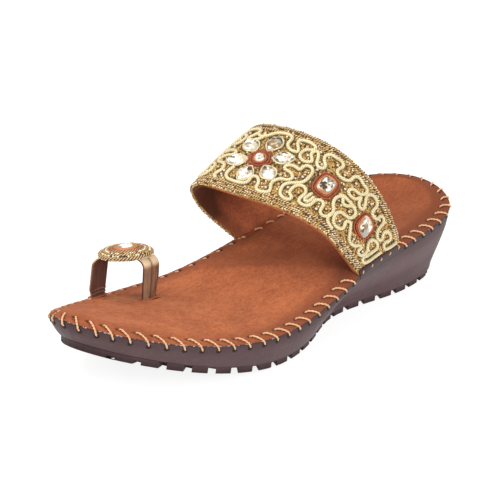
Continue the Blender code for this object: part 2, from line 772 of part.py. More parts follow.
def build_flower(parts):
    """Round stone with six pointed stones about it, each laid on the strap."""
    centre = strap_frame(*FLOWER_PLACE)
    outline = round_outline(*CENTRE_STONE_SIZE[:2])
    build_stone("flower_crystal_centre", parts, outline, CENTRE_STONE_SIZE[2], centre)
    grid, _ = strap_surface(*STONE_GRID)
    middle = grid[:, STONE_GRID[1] // 2]
    girth = np.linalg.norm(np.diff(middle, axis=0), axis=1).sum()
    across = grid[round(FLOWER_PLACE[0] * STONE_GRID[0])]
    band = np.linalg.norm(np.diff(across, axis=0), axis=1).sum()
    outline = petal_outline(*PETAL_SIZE[:2])
    for number in range(PETALS):
        angle = FLOWER_TURN + math.tau * number / PETALS
        around = FLOWER_PLACE[0] + FLOWER_RADIUS * math.cos(angle) / girth
        along = FLOWER_PLACE[1] - FLOWER_RADIUS * math.sin(angle) / band
        frame = strap_frame(around, along) @ Matrix.Rotation(angle, 4, "Z")
        build_stone(f"flower_petal_{number + 1}", parts, outline, PETAL_SIZE[2], frame)


def build_cushions(parts):
    """Cushion-cut stones down both sides of the strap."""
    outline = cushion_outline(*CUSHION_SIZE[:2])
    for number, place in enumerate(CUSHION_PLACES):
        frame = strap_frame(*place)
        build_stone(f"cushion_crystal_{number + 1}", parts, outline, CUSHION_SIZE[2], frame)


def build_toe_stone(parts):
    """Round stone on the seat of the medallion."""
    centre, normal = disc_frame()
    frame = normal.to_track_quat("Z", "Y").to_matrix().to_4x4()
    frame.translation = centre + normal * (DISC_DOME + GAP) * MM
    build_stone("toe_crystal", parts, round_outline(*TOE_STONE_SIZE[:2]), TOE_STONE_SIZE[2], frame)


def new_collection(name):
    """Collection linked to the scene."""
    collection = bpy.data.collections.new(name)
    bpy.context.scene.collection.children.link(collection)
    return collection


def main():
    """Clear the scene and build the sandal."""
    for obj in list(bpy.data.objects):
        bpy.data.objects.remove(obj, do_unlink=True)
    parts = new_collection("slip_on_sandal")
    cutters = new_collection("cutters")
    build_outsole(parts, cutters)
    build_midsole(parts)
    build_insole(parts, cutters)
    build_strap(parts)
    build_toe_loop(parts)
    build_medallion(parts)
    build_toe_stone(parts)
    build_flower(parts)
    build_cushions(parts)


main()
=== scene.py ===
"""Look of a slip-on sandal for the left foot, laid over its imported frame.

A padded suede footbed is whip-stitched onto a moulded wedge sole. One wide strap of
gold cloth with couched cord, beads and cut stones crosses the instep, and a folded
leather loop with a beaded medallion holds the big toe.

Frame: metres, +Z up, toe towards -Y, little-toe side towards +X. Sizes in the classes
are millimetres: across the foot, along the sole from the back of the heel, and up.
"""

from __future__ import annotations

import json
import logging
import math
from collections.abc import Mapping, Sequence
from dataclasses import dataclass, field
from enum import Enum
from functools import cache
from typing import Union

import bmesh
import bpy
import numpy as np
from mathutils import Matrix, Vector, noise

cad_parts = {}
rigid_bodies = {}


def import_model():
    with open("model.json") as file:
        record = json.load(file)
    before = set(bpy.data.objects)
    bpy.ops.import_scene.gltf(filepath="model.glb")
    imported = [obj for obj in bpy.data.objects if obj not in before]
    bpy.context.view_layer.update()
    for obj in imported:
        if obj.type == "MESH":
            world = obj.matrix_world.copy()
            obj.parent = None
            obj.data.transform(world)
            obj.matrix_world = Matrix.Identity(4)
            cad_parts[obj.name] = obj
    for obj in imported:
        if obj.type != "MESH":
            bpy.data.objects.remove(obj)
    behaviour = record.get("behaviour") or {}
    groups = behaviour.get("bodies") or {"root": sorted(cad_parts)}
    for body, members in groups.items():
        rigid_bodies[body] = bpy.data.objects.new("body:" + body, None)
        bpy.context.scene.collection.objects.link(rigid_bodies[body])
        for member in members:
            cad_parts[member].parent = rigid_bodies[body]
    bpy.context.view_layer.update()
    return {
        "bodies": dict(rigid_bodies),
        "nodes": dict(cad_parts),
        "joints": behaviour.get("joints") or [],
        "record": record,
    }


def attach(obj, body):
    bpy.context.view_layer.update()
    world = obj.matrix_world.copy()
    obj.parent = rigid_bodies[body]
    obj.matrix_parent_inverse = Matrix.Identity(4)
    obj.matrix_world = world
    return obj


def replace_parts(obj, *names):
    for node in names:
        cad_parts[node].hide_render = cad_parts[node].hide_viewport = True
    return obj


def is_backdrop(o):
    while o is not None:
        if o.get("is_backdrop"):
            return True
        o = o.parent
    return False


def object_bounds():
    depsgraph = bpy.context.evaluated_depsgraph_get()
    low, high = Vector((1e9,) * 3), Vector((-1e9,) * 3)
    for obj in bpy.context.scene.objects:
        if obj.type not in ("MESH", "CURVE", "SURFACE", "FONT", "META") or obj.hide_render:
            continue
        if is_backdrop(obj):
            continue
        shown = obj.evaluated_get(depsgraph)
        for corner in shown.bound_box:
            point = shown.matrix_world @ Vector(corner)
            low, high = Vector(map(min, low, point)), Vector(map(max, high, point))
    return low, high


LOG = logging.getLogger("sandal")
MM = 0.001
CENTRE_ACROSS = -0.75
CENTRE_ALONG = 128.0
GAP = 0.3
UP = np.array((0.0, 0.0, 1.0))

Colour = tuple[float, float, float]
Pair = tuple[float, float]
Triple = tuple[float, float, float]
Four = tuple[float, float, float, float]
Value = Union["Wire", float, Sequence[float]]
Array = np.ndarray


# Lines and places


def world(places: Array) -> Array:
    """Turn places on the sandal into the row frame.

    Args:
        places: Millimetres across, along and up in the last axis.

    Returns:
        Metres in the row frame, in the same shape.
    """
    out = np.empty(places.shape)
    out[..., 0] = (places[..., 0] - CENTRE_ACROSS) * MM
    out[..., 1] = (CENTRE_ALONG - places[..., 1]) * MM
    out[..., 2] = places[..., 2] * MM
    return out


def turned(directions: Array) -> Array:
    """Turn directions on the sandal into the row frame."""
    return directions * np.array((1.0, -1.0, 1.0))


def unit(vectors: Array) -> Array:
    """Vectors of length one along the same directions."""
    return vectors / np.maximum(np.linalg.norm(vectors, axis=-1, keepdims=True), 1e-12)


def ease(value: Array | float) -> Array | float:
    """Smooth step from 0 to 1 over the same span."""
    held = np.clip(value, 0.0, 1.0)
    return held * held * (3.0 - 2.0 * held)


def lengths(line: Array, columns: int = 3) -> Array:
    """Distance reached at each point of a line."""
    steps = np.linalg.norm(np.diff(line[:, :columns], axis=0), axis=1)
    return np.concatenate([[0.0], np.cumsum(steps)])


def slopes(knots: Array, points: Array, closed: bool) -> Array:
    """Work out the slopes of the smooth cubic line through some points.

    Args:
        knots: Distance at each point, with one more at the end of a closed line.
        points: One row for each point.
        closed: Whether the last point leads back to the first.

    Returns:
        One slope for each point.
    """
    count = len(points)
    steps = np.diff(knots)
    system = np.zeros((count, count))
    right = np.zeros(points.shape)
    for i in range(count) if closed else range(1, count - 1):
        before, after = i - 1, (i + 1) % count
        step_before, step_after = steps[before], steps[i]
        rise_before = (points[i] - points[before]) / step_before
        rise_after = (points[after] - points[i]) / step_after
        system[i, before] += step_after
        system[i, i] += 2.0 * (step_before + step_after)
        system[i, after] += step_before
        right[i] = 3.0 * (step_after * rise_before + step_before * rise_after)
    if not closed:
        system[0, 0], system[0, 1] = 2.0, 1.0
        right[0] = 3.0 * (points[1] - points[0]) / steps[0]
        system[-1, -1], system[-1, -2] = 2.0, 1.0
        right[-1] = 3.0 * (points[-1] - points[-2]) / steps[-1]
    return np.linalg.solve(system, right)


def smooth_line(points: Sequence[Sequence[float]] | Array, closed: bool = False, fine: int = 24) -> Array:
    """Draw the smooth line through some points.

    Args:
        points: One row for each point; its first two columns set the spacing.
        closed: Whether the last point leads back to the first.
        fine: Steps between two points.

    Returns:
        Dense points of the line, with the first one repeated on a closed line.
    """
    rows = np.asarray(points, dtype=float)
    loop = np.vstack([rows, rows[:1]]) if closed else rows
    chords = np.linalg.norm(np.diff(loop[:, :2], axis=0), axis=1)
    rates = slopes(lengths(loop, 2), rows, closed)
    if closed:
        rates = np.vstack([rates, rates[:1]])
    t = np.linspace(0.0, 1.0, fine, endpoint=False)[:, None]
    spans = []
    for i, step in enumerate(chords):
        spans.append(
            loop[i] * (2 * t**3 - 3 * t**2 + 1)
            + loop[i + 1] * (3 * t**2 - 2 * t**3)
            + rates[i] * step * (t**3 - 2 * t**2 + t)
            + rates[i + 1] * step * (t**3 - t**2)
        )
    return np.vstack([*spans, loop[-1:]])


def evenly(line: Array, count: int, columns: int = 2) -> Array:
    """Pick points at even distances along a dense line, both ends included.

    Args:
        line: Dense points.
        count: Number of points wanted.
        columns: Columns that make up the distance.

    Returns:
        The points, with all the columns of the line.
    """
    run = lengths(line, columns)
    wanted = np.linspace(0.0, run[-1], count)
    return np.stack([np.interp(wanted, run, line[:, k]) for k in range(line.shape[1])], axis=1)


def bell(value: Array, reach: float) -> Array:
    """Soft peak that is 1 at 0."""
    return np.exp(-((value / reach) ** 2))


def blot(x: Array, y: Array, wide: float, tall: float) -> Array:
    """Soft spot that is 1 at 0, 0."""
    return np.exp(-((x / wide) ** 2) - (y / tall) ** 2)


def window(values: Array | float, span: Pair) -> Array:
    """Smooth bump that is 1 in the middle of a span and 0 outside it."""
    share = np.clip((np.asarray(values) - span[0]) / (span[1] - span[0]), 0.0, 1.0)
    return np.sin(np.pi * share) ** 2


# Shader maths


@dataclass(frozen=True)
class Wire:
    """One output of a node, with arithmetic that adds Math nodes."""

    tree: bpy.types.NodeTree
    socket: bpy.types.NodeSocket

    def maths(self, operation: str, *values: Value, swap: bool = False) -> Wire:
        """Add a Math node.

        Args:
            operation: Name of the operation.
            values: The other values.
            swap: Whether this output comes second.

        Returns:
            Its output.
        """
        given: list[Value] = [self, *values]
        if swap:
            given.reverse()
        maker = self.tree.nodes.new("ShaderNodeMath")
        maker.operation = operation
        for socket, value in zip(maker.inputs, given):
            plug(self.tree, socket, value)
        return Wire(self.tree, maker.outputs[0])

    def __add__(self, other: Value) -> Wire:
        """Sum."""
        return self.maths("ADD", other)

    __radd__ = __add__

    def __mul__(self, other: Value) -> Wire:
        """Product."""
        return self.maths("MULTIPLY", other)

    __rmul__ = __mul__

    def __sub__(self, other: Value) -> Wire:
        """Difference."""
        return self.maths("SUBTRACT", other)

    def __rsub__(self, other: Value) -> Wire:
        """Difference, the other way round."""
        return self.maths("SUBTRACT", other, swap=True)

    def above(self, edge: float, soft: float) -> Wire:
        """Mask that turns from 0 to 1 over a soft width about an edge."""
        share = (self - (edge - soft / 2)) * (1.0 / soft)
        return share.maths("MAXIMUM", 0.0).maths("MINIMUM", 1.0)


def plug(tree: bpy.types.NodeTree, socket: bpy.types.NodeSocket, value: Value) -> None:
    """Give a socket a link or a value.

    Args:
        tree: Tree that holds the socket.
        socket: Input to fill.
        value: Output to link, number or colour.
    """
    if isinstance(value, Wire):
        tree.links.new(value.socket, socket)
    elif isinstance(value, (int, float)):
        socket.default_value = value
    elif socket.type == "RGBA":
        socket.default_value = (*value, 1.0)
    else:
        socket.default_value = tuple(value)


class Paint:
    """A material while it is being mixed."""

    def __init__(self, name: str) -> None:
        """Start a material with its shader.

        Args:
            name: Name of the material.
        """
        self.material = bpy.data.materials.new(name)
        self.material.use_nodes = True
        self.tree = self.material.node_tree
        self.shader = self.tree.nodes["Principled BSDF"]
        self.spot = self.place()

    def node(
        self, kind: str, settings: Mapping[str, object] | None = None,
        sockets: Mapping[str | int, Value] | None = None, output: str | int = 0,
    ) -> Wire:
        """Add any node.

        Args:
            kind: Type of the node.
            settings: Its properties, set first.
            sockets: Values or links of its inputs.
            output: Which output is wanted.

        Returns:
            That output.
        """
        made = self.tree.nodes.new(kind)
        for key, value in (settings or {}).items():
            setattr(made, key, value)
        for key, value in (sockets or {}).items():
            plug(self.tree, made.inputs[key], value)
        return Wire(self.tree, made.outputs[output])

    def place(self, stretch: Triple = (1.0, 1.0, 1.0), turn: Triple = (0.0, 0.0, 0.0)) -> Wire:
        """Place on the sandal in millimetres, with a finer pattern or a turn about each axis.

        Args:
            stretch: How much finer the pattern is along each axis.
            turn: Angles about the axes, in radians.

        Returns:
            The place.
        """
        spot = self.node("ShaderNodeTexCoord", output="Object")
        scale = [part / MM for part in stretch]
        return self.node("ShaderNodeMapping", sockets={"Vector": spot, "Rotation": turn, "Scale": scale})

    def axis(self, vector: Wire, number: int) -> Wire:
        """One part of a vector: 0 for X, 1 for Y, 2 for Z."""
        return self.node("ShaderNodeSeparateXYZ", sockets={0: vector}, output=number)

    def mark(self, name: str) -> Wire:
        """Number that the mesh carries."""
        return self.node("ShaderNodeAttribute", {"attribute_name": name}, output="Fac")

    def grain(self, size: float, layers: float = 2.0, rough: float = 0.5, place: Wire | None = None) -> Wire:
        """Noise from 0 to 1, in patches of a size in millimetres with some finer layers."""
        sockets = {"Vector": place or self.spot, "Scale": 1.0 / size, "Detail": layers, "Roughness": rough}
        return self.node("ShaderNodeTexNoise", sockets=sockets)

    def cells(self, size: float, output: str = "Distance") -> Wire:
        """Pattern of cells of a size in millimetres: the distance or the colour."""
        return self.node("ShaderNodeTexVoronoi", {}, {"Vector": self.spot, "Scale": 1.0 / size}, output)

    def blend(self, share: Value, low: Value, high: Value) -> Wire:
        """Colour between two colours, the first one at 0."""
        settings = {"data_type": "RGBA", "clamp_factor": True}
        return self.node("ShaderNodeMix", settings, {0: share, 6: low, 7: high}, 2)

    def steps(self, share: Wire, colour: Value, stops: Sequence[tuple[float, float, Colour]]) -> Wire:
        """Colour that changes step by step.

        Args:
            share: Number that is read.
            colour: Colour under the first step.
            stops: Edge, softness and next colour of each step.

        Returns:
            The mixed colour.
        """
        for edge, soft, high in stops:
            colour = self.blend(share.above(edge, soft), colour, high)
        return colour

    def relief(self, height: Wire, depth: float, under: Wire | None = None) -> Wire:
        """Bump from a height.

        Args:
            height: Pattern from 0 to 1.
            depth: Its height in millimetres.
            under: Bump that it lies on.

        Returns:
            The bent normal.
        """
        sockets: dict[str | int, Value] = {"Height": height, "Strength": 1.0, "Distance": depth * MM}
        if under is not None:
            sockets["Normal"] = under
        return self.node("ShaderNodeBump", sockets=sockets)

    def wear(self, colour: Wire, rough: Value, **others: Value) -> None:
        """Finish the material; the names of the other inputs have _ for a space."""
        for key, value in {"Base_Color": colour, "Roughness": rough, **others}.items():
            plug(self.tree, self.shader.inputs[key.replace("_", " ")], value)


# Finishes


@dataclass(frozen=True)
class Suede:
    """Brushed suede with a soft nap, with painted shade in its creases, stitch holes and shaded places, and
    painted light where a cast shadow is lifted.
    """

    light: Colour = (0.45, 0.135, 0.052)
    deep: Colour = (0.27, 0.070, 0.027)
    # painted shade, painted light, and painted shade in holes, slits and creases
    painted_shade_colour: Colour = (0.190, 0.050, 0.021)
    painted_light_colour: Colour = (0.85, 0.29, 0.12)
    hole: Colour = (0.030, 0.009, 0.006)
    sheen: Colour = (0.9, 0.5, 0.3)
    patch: float = 16.0
    nap: float = 0.7
    brushing: tuple[Triple, Triple] = ((1.0, 0.45, 1.0), (0.0, 0.0, 0.5))

    def mix(self, paint: Paint) -> None:
        """Mix the suede.

        Args:
            paint: Material, which reads marks for painted shade ("hollow", "wear") and for painted light.
        """
        cloud = paint.grain(self.patch, 3.0, 0.6)
        streak = paint.grain(self.nap * 2.6, 3.0, 0.65, paint.place(*self.brushing))
        fine = paint.grain(self.nap, 2.0, 0.6)
        share = (cloud * 0.5 + streak * 0.6 + fine * 0.8).above(0.95, 0.34)
        colour = paint.blend(share, self.deep, self.light)
        # painted shade from the marks hollow and wear, and painted light from the other mark
        for mark, tint in (("wear", self.painted_shade_colour), ("rub", self.painted_light_colour), ("hollow", self.hole)):
            colour = paint.blend(paint.mark(mark), colour, tint)
        normal = paint.relief(fine, 0.16, paint.relief(streak, 0.22, paint.relief(cloud, 0.6)))
        sheen = {"Sheen_Weight": 0.1, "Sheen_Roughness": 0.5, "Sheen_Tint": self.sheen}
        paint.wear(colour, 0.86 + 0.1 * fine, Normal=normal, Specular_IOR_Level=0.15, **sheen)


@dataclass(frozen=True)
class Rubber:
    """Moulded rubber with a satin skin, and bars on the faces that look down."""

    colour: Colour = (0.082, 0.042, 0.044)
    dusk: Colour = (0.060, 0.029, 0.031)
    # painted shade near the ground, a painted highlight band on the wall, painted shade under the rim and
    # painted shade between the bars
    base: Colour = (0.026, 0.010, 0.010)
    painted_sheen: Colour = (0.165, 0.105, 0.108)
    rim: Colour = (0.040, 0.017, 0.018)
    gap: Colour = (0.01, 0.007, 0.007)
    rough: float = 0.46
    pebble: float = 0.0
    bars: float = 0.0
    # how far before the middle the rim starts to rise, and over what length
    toe_rise: Pair = (32.0, 90.0)
    heel_rise: Pair = (30.0, 158.0)

    def mix(self, paint: Paint) -> None:
        """Mix the rubber.

        Args:
            paint: Material.
        """
        cloud, fine = paint.grain(14.0, 3.0, 0.55), paint.grain(0.5)
        scuff = paint.grain(2.4, 3.0, 0.7).above(0.62, 0.1)
        colour = paint.blend(cloud.above(0.5, 0.5), self.dusk, self.colour)
        colour = paint.blend(scuff * 0.35, colour, [1.6 * part for part in self.colour])
        normal = paint.relief(fine, 0.04, paint.relief(cloud, 0.3))
        spread, level = paint.axis(paint.spot, 1), paint.axis(paint.spot, 2)
        toe = ((spread * -1.0 - self.toe_rise[0]) * (1.0 / self.toe_rise[1])).maths("MAXIMUM", 0.0)
        if self.pebble:
            # painted shade darkens the tread where it meets the ground, which it leaves at the toe
            normal = paint.relief(paint.cells(self.pebble), 0.06, normal)
            share = (level - 18.0 * toe * toe + 1.4 * (cloud - 0.5)).above(2.0, 2.6)
            colour = paint.blend(share, self.base, colour)
        else:
            # painted highlight in a band where the wall bulges, and painted shade under the rim's overhang
            heel = ((spread + self.heel_rise[0]) * (1.0 / self.heel_rise[1])).maths("MAXIMUM", 0.0)
            below = 17.0 + 20.0 * heel + 14.0 * toe * toe - level
            band = (below - 9.0 - 6.0 * heel) * (1.0 / 7.0)
            glow = (band * band * -1.0 + 1.0).maths("MAXIMUM", 0.0) * (0.3 + 0.7 * cloud)
            colour = paint.blend(glow * (0.06 + 0.42 * spread.above(0.0, 50.0)), colour, self.painted_sheen)
            dark = (1.0 - (below + 3.0 * (cloud - 0.5)).above(3.0, 5.0)) * 0.75
            colour = paint.blend(dark, colour, self.rim)
        if self.bars:
            facing = paint.node("ShaderNodeNewGeometry", output="Normal")
            under = (paint.axis(facing, 2) * -1.0).above(0.8, 0.2)
            sockets = {"Vector": paint.spot, "Scale": 1.0 / self.bars, "Distortion": 0.0}
            wave = paint.node("ShaderNodeTexWave", {"bands_direction": "Y"}, sockets)
            normal = paint.relief(under * wave.above(0.55, 0.2), 1.0, normal)
            # painted shade in the gaps between the bars
            colour = paint.blend(under * (1.0 - wave.above(0.5, 0.3)) * 0.5, colour, self.gap)
        rough = self.rough + 0.12 * fine + 0.08 * cloud
        paint.wear(colour, rough, Normal=normal, Specular_IOR_Level=0.3)


@dataclass(frozen=True)
class GoldCloth:
    """Metallic ground cloth, woven fine, with dark gaps between its threads."""

    bright: Colour = (0.84, 0.58, 0.20)
    warm: Colour = (0.40, 0.20, 0.05)
    gap: Colour = (0.10, 0.050, 0.012)
    shade: Colour = (0.085, 0.040, 0.010)
    thread: float = 0.62
    shading: float = 0.72

    def mix(self, paint: Paint) -> None:
        """Mix the cloth.

        Args:
            paint: Material, which reads the mark "near" beside the couched work.
        """
        cells, tint = paint.cells(self.thread), paint.cells(self.thread, "Color")
        tone = paint.node("ShaderNodeSeparateColor", sockets={0: tint})
        cloud = paint.grain(5.0, 2.0, 0.6)
        colour = paint.blend((tone * 0.7 + cloud * 0.5).above(0.6, 0.5), self.warm, self.bright)
        colour = paint.blend(cells.above(0.62, 0.25), colour, self.gap)
        # painted shade on the cloth beside the couched work
        colour = paint.blend(paint.mark("near") * self.shading, colour, self.shade)
        paint.wear(colour, 0.34 + 0.3 * cells, Normal=paint.relief(1.0 - cells, 0.35), Metallic=0.4)


@dataclass(frozen=True)
class Thread:
    """Cord or thread of twisted strands."""

    light: Colour
    deep: Colour
    metallic: float = 0.0
    rough: float = 0.5
    strand: float = 0.35
    # strength and darkness of the painted shade in the grooves between the strands
    contrast: float = 0.75
    painted_groove_shade: float = 0.3

    def mix(self, paint: Paint) -> None:
        """Mix the thread.

        Args:
            paint: Material, which reads the mark "groove" for painted shade between the strands.
        """
        cloud, fine = paint.grain(3.0, 2.0, 0.6), paint.grain(self.strand)
        colour = paint.blend((cloud * 0.6 + fine * 0.5).above(0.52, 0.5), self.deep, self.light)
        share = (paint.mark("groove") * self.contrast).maths("MINIMUM", 1.0)
        colour = paint.blend(share, colour, [part * self.painted_groove_shade for part in self.deep])
        rough = self.rough + 0.2 * fine
        paint.wear(colour, rough, Normal=paint.relief(fine, 0.08), Metallic=self.metallic)


@dataclass(frozen=True)
class Bead:
    """Glass and metal seed beads in four tones."""

    dark: Colour = (0.085, 0.033, 0.012)
    middle: Colour = (0.62, 0.38, 0.12)
    pale: Colour = (0.92, 0.80, 0.54)
    silver: Colour = (0.66, 0.56, 0.38)
    metallic: float = 0.5
    rough: float = 0.22

    def mix(self, paint: Paint) -> None:
        """Mix the beads.

        Args:
            paint: Material, which reads the mark "tone" of each bead.
        """
        fine = paint.grain(0.4)
        stops = ((0.3, 0.1, self.middle), (0.62, 0.12, self.pale), (0.96, 0.02, self.silver))
        colour = paint.steps(paint.mark("tone"), self.dark, stops)
        gloss = {"Metallic": self.metallic, "Coat_Weight": 0.6}
        paint.wear(colour, self.rough + 0.15 * fine, Normal=paint.relief(fine, 0.02), **gloss)


@dataclass(frozen=True)
class Crystal:
    """Cut glass over silver foil: each facet is painted its own shade, which stands in for what it reflects.
    """

    white: Colour = (0.90, 0.90, 0.88)
    pale: Colour = (0.66, 0.58, 0.42)
    grey: Colour = (0.36, 0.34, 0.29)
    olive: Colour = (0.30, 0.19, 0.09)
    dark: Colour = (0.055, 0.038, 0.025)

    def mix(self, paint: Paint) -> None:
        """Mix the glass.

        Args:
            paint: Material, which reads the mark "tone" of each facet.
        """
        cloud = paint.grain(1.6, 1.0)
        shades = ((0.35, self.pale), (0.5, self.grey), (0.7, self.olive), (0.85, self.dark))
        colour = paint.steps(paint.mark("tone"), self.white, [(edge, 0.04, shade) for edge, shade in shades])
        colour = paint.blend(cloud.above(0.68, 0.1) * 0.2, colour, self.grey)
        gloss = {"Metallic": 0.15, "Specular_IOR_Level": 0.6, "Coat_Weight": 0.5, "Coat_Roughness": 0.03}
        paint.wear(colour, 0.06 + 0.06 * cloud, Normal=paint.relief(cloud, 0.03), **gloss)


@dataclass(frozen=True)
class Leather:
    """Finished leather with a fine grain and a painted highlight."""

    light: Colour
    deep: Colour
    metallic: float = 0.0
    rough: float = 0.45
    grain: float = 0.7
    painted_highlight: Colour = (0.80, 0.60, 0.37)
    seam: Colour = (0.10, 0.03, 0.02)

    def mix(self, paint: Paint) -> None:
        """Mix the leather.

        Args:
            paint: Material, which reads the marks "glow", a painted highlight, and "seam".
        """
        cells = paint.cells(self.grain)
        streak = paint.grain(0.9, 3.0, 0.6, paint.place((1.0, 1.0, 0.12)))
        colour = paint.blend(streak.above(0.5, 0.34), self.deep, self.light)
        colour = paint.blend(paint.mark("glow"), colour, self.painted_highlight)
        colour = paint.blend(paint.mark("seam"), colour, self.seam)
        normal = paint.relief(cells, 0.05, paint.relief(streak, 0.12))
        paint.wear(colour, self.rough + 0.2 * streak, Normal=normal, Metallic=self.metallic)


@dataclass(frozen=True)
class Fray:
    """Cut edge of a dark backing with pale torn fibres."""

    dark: Colour = (0.060, 0.026, 0.024)
    fibre: Colour = (0.62, 0.50, 0.48)
    fleck: float = 1.5

    def mix(self, paint: Paint) -> None:
        """Mix the backing.

        Args:
            paint: Material, which reads the mark "torn".
        """
        fleck, fine = paint.grain(self.fleck, 3.0, 0.7), paint.grain(0.4)
        colour = paint.blend((fleck + 0.13 * paint.mark("torn")).above(0.68, 0.12), self.dark, self.fibre)
        paint.wear(colour, 0.8 + 0.15 * fine, Normal=paint.relief(fine, 0.15, paint.relief(fleck, 0.3)))


class Finish(Enum):
    """Finishes of the sandal's pieces."""

    FOOTBED = Suede()
    # the lining's darkest colour is painted shade inside the strap
    LINING = Suede((0.64, 0.20, 0.082), (0.38, 0.110, 0.048), painted_shade_colour=(0.040, 0.012, 0.007), patch=22.0)
    WALL = Rubber()
    TREAD = Rubber((0.070, 0.036, 0.037), (0.050, 0.024, 0.025), rough=0.6, pebble=0.8, bars=2.6)
    CLOTH = GoldCloth()
    RAW_EDGE = Fray()
    STITCH = Thread((0.82, 0.50, 0.27), (0.60, 0.31, 0.15), rough=0.42, strand=0.3)
    # a lighter copy of the stitch, as painted light for the stitches that lie in the strap's shade
    PAINTED_LIGHT_STITCH = Thread((1.0, 0.64, 0.40), (0.95, 0.49, 0.27), rough=0.42, strand=0.3)
    CORD = Thread((0.97, 0.87, 0.58), (0.76, 0.60, 0.28), 0.15, 0.4, painted_groove_shade=0.2)
    EDGE_CORD = Thread((1.0, 0.77, 0.42), (0.62, 0.33, 0.10), 0.15, 0.4, contrast=2.2, painted_groove_shade=0.12)
    RED_CORD = Thread((0.62, 0.125, 0.045), (0.36, 0.055, 0.016), rough=0.4)
    PEACH_CORD = Thread((0.78, 0.38, 0.17), (0.55, 0.21, 0.08), 0.15, 0.45)
    BEADS = Bead()
    STONE = Crystal()
    LOOP = Leather((0.29, 0.145, 0.078), (0.12, 0.052, 0.027), 0.15, 0.42)
    LOOP_LINING = Leather((0.120, 0.042, 0.026), (0.065, 0.022, 0.014), rough=0.7)
    SHADOW = Leather((0.020, 0.010, 0.008), (0.010, 0.005, 0.004), rough=0.8)

    @cache
    def material(self) -> bpy.types.Material:
        """Its material, mixed once.

        Returns:
            The material.
        """
        paint = Paint("finish_" + self.name.lower())
        self.value.mix(paint)
        return paint.material


# Meshes


def lattice(rows: int, columns: int, wrap_rows: bool = False, wrap_columns: bool = False) -> list[list[int]]:
    """List the quads of a grid.

    Args:
        rows: Number of rows of points.
        columns: Number of points in a row.
        wrap_rows: Whether the last row joins the first.
        wrap_columns: Whether the last point of a row joins the first.

    Returns:
        Four indices for each quad.
    """
    i = np.arange(rows if wrap_rows else rows - 1)[:, None]
    j = np.arange(columns if wrap_columns else columns - 1)[None, :]
    here, down, right = i * columns, (i + 1) % rows * columns, (j + 1) % columns
    return np.stack([here + j, here + right, down + right, down + j], axis=-1).reshape(-1, 4).tolist()


def drum(rows: int, columns: int, inward: bool = False) -> list[list[int]]:
    """List the quads round some rings of points, and a face over each end, either way round."""
    ends = [list(range(columns))[::-1], list(range((rows - 1) * columns, rows * columns))]
    return lattice(rows, columns, wrap_columns=True) + [end[::-1] if inward else end for end in ends]


def flanks(path: Array, out: Array, closed: bool = False) -> tuple[Array, Array]:
    """Directions to the side of a path and out of it, at each point.

    Args:
        path: Points along the path.
        out: Direction out of the surface at each point, or one for all.
        closed: Whether the last point is joined to the first one.

    Returns:
        Unit directions to the side and out.
    """
    steps = np.roll(path, -1, axis=0) - np.roll(path, 1, axis=0) if closed else np.gradient(path, axis=0)
    along = unit(steps)
    side = unit(np.cross(along, out))
    return side, np.cross(side, along)


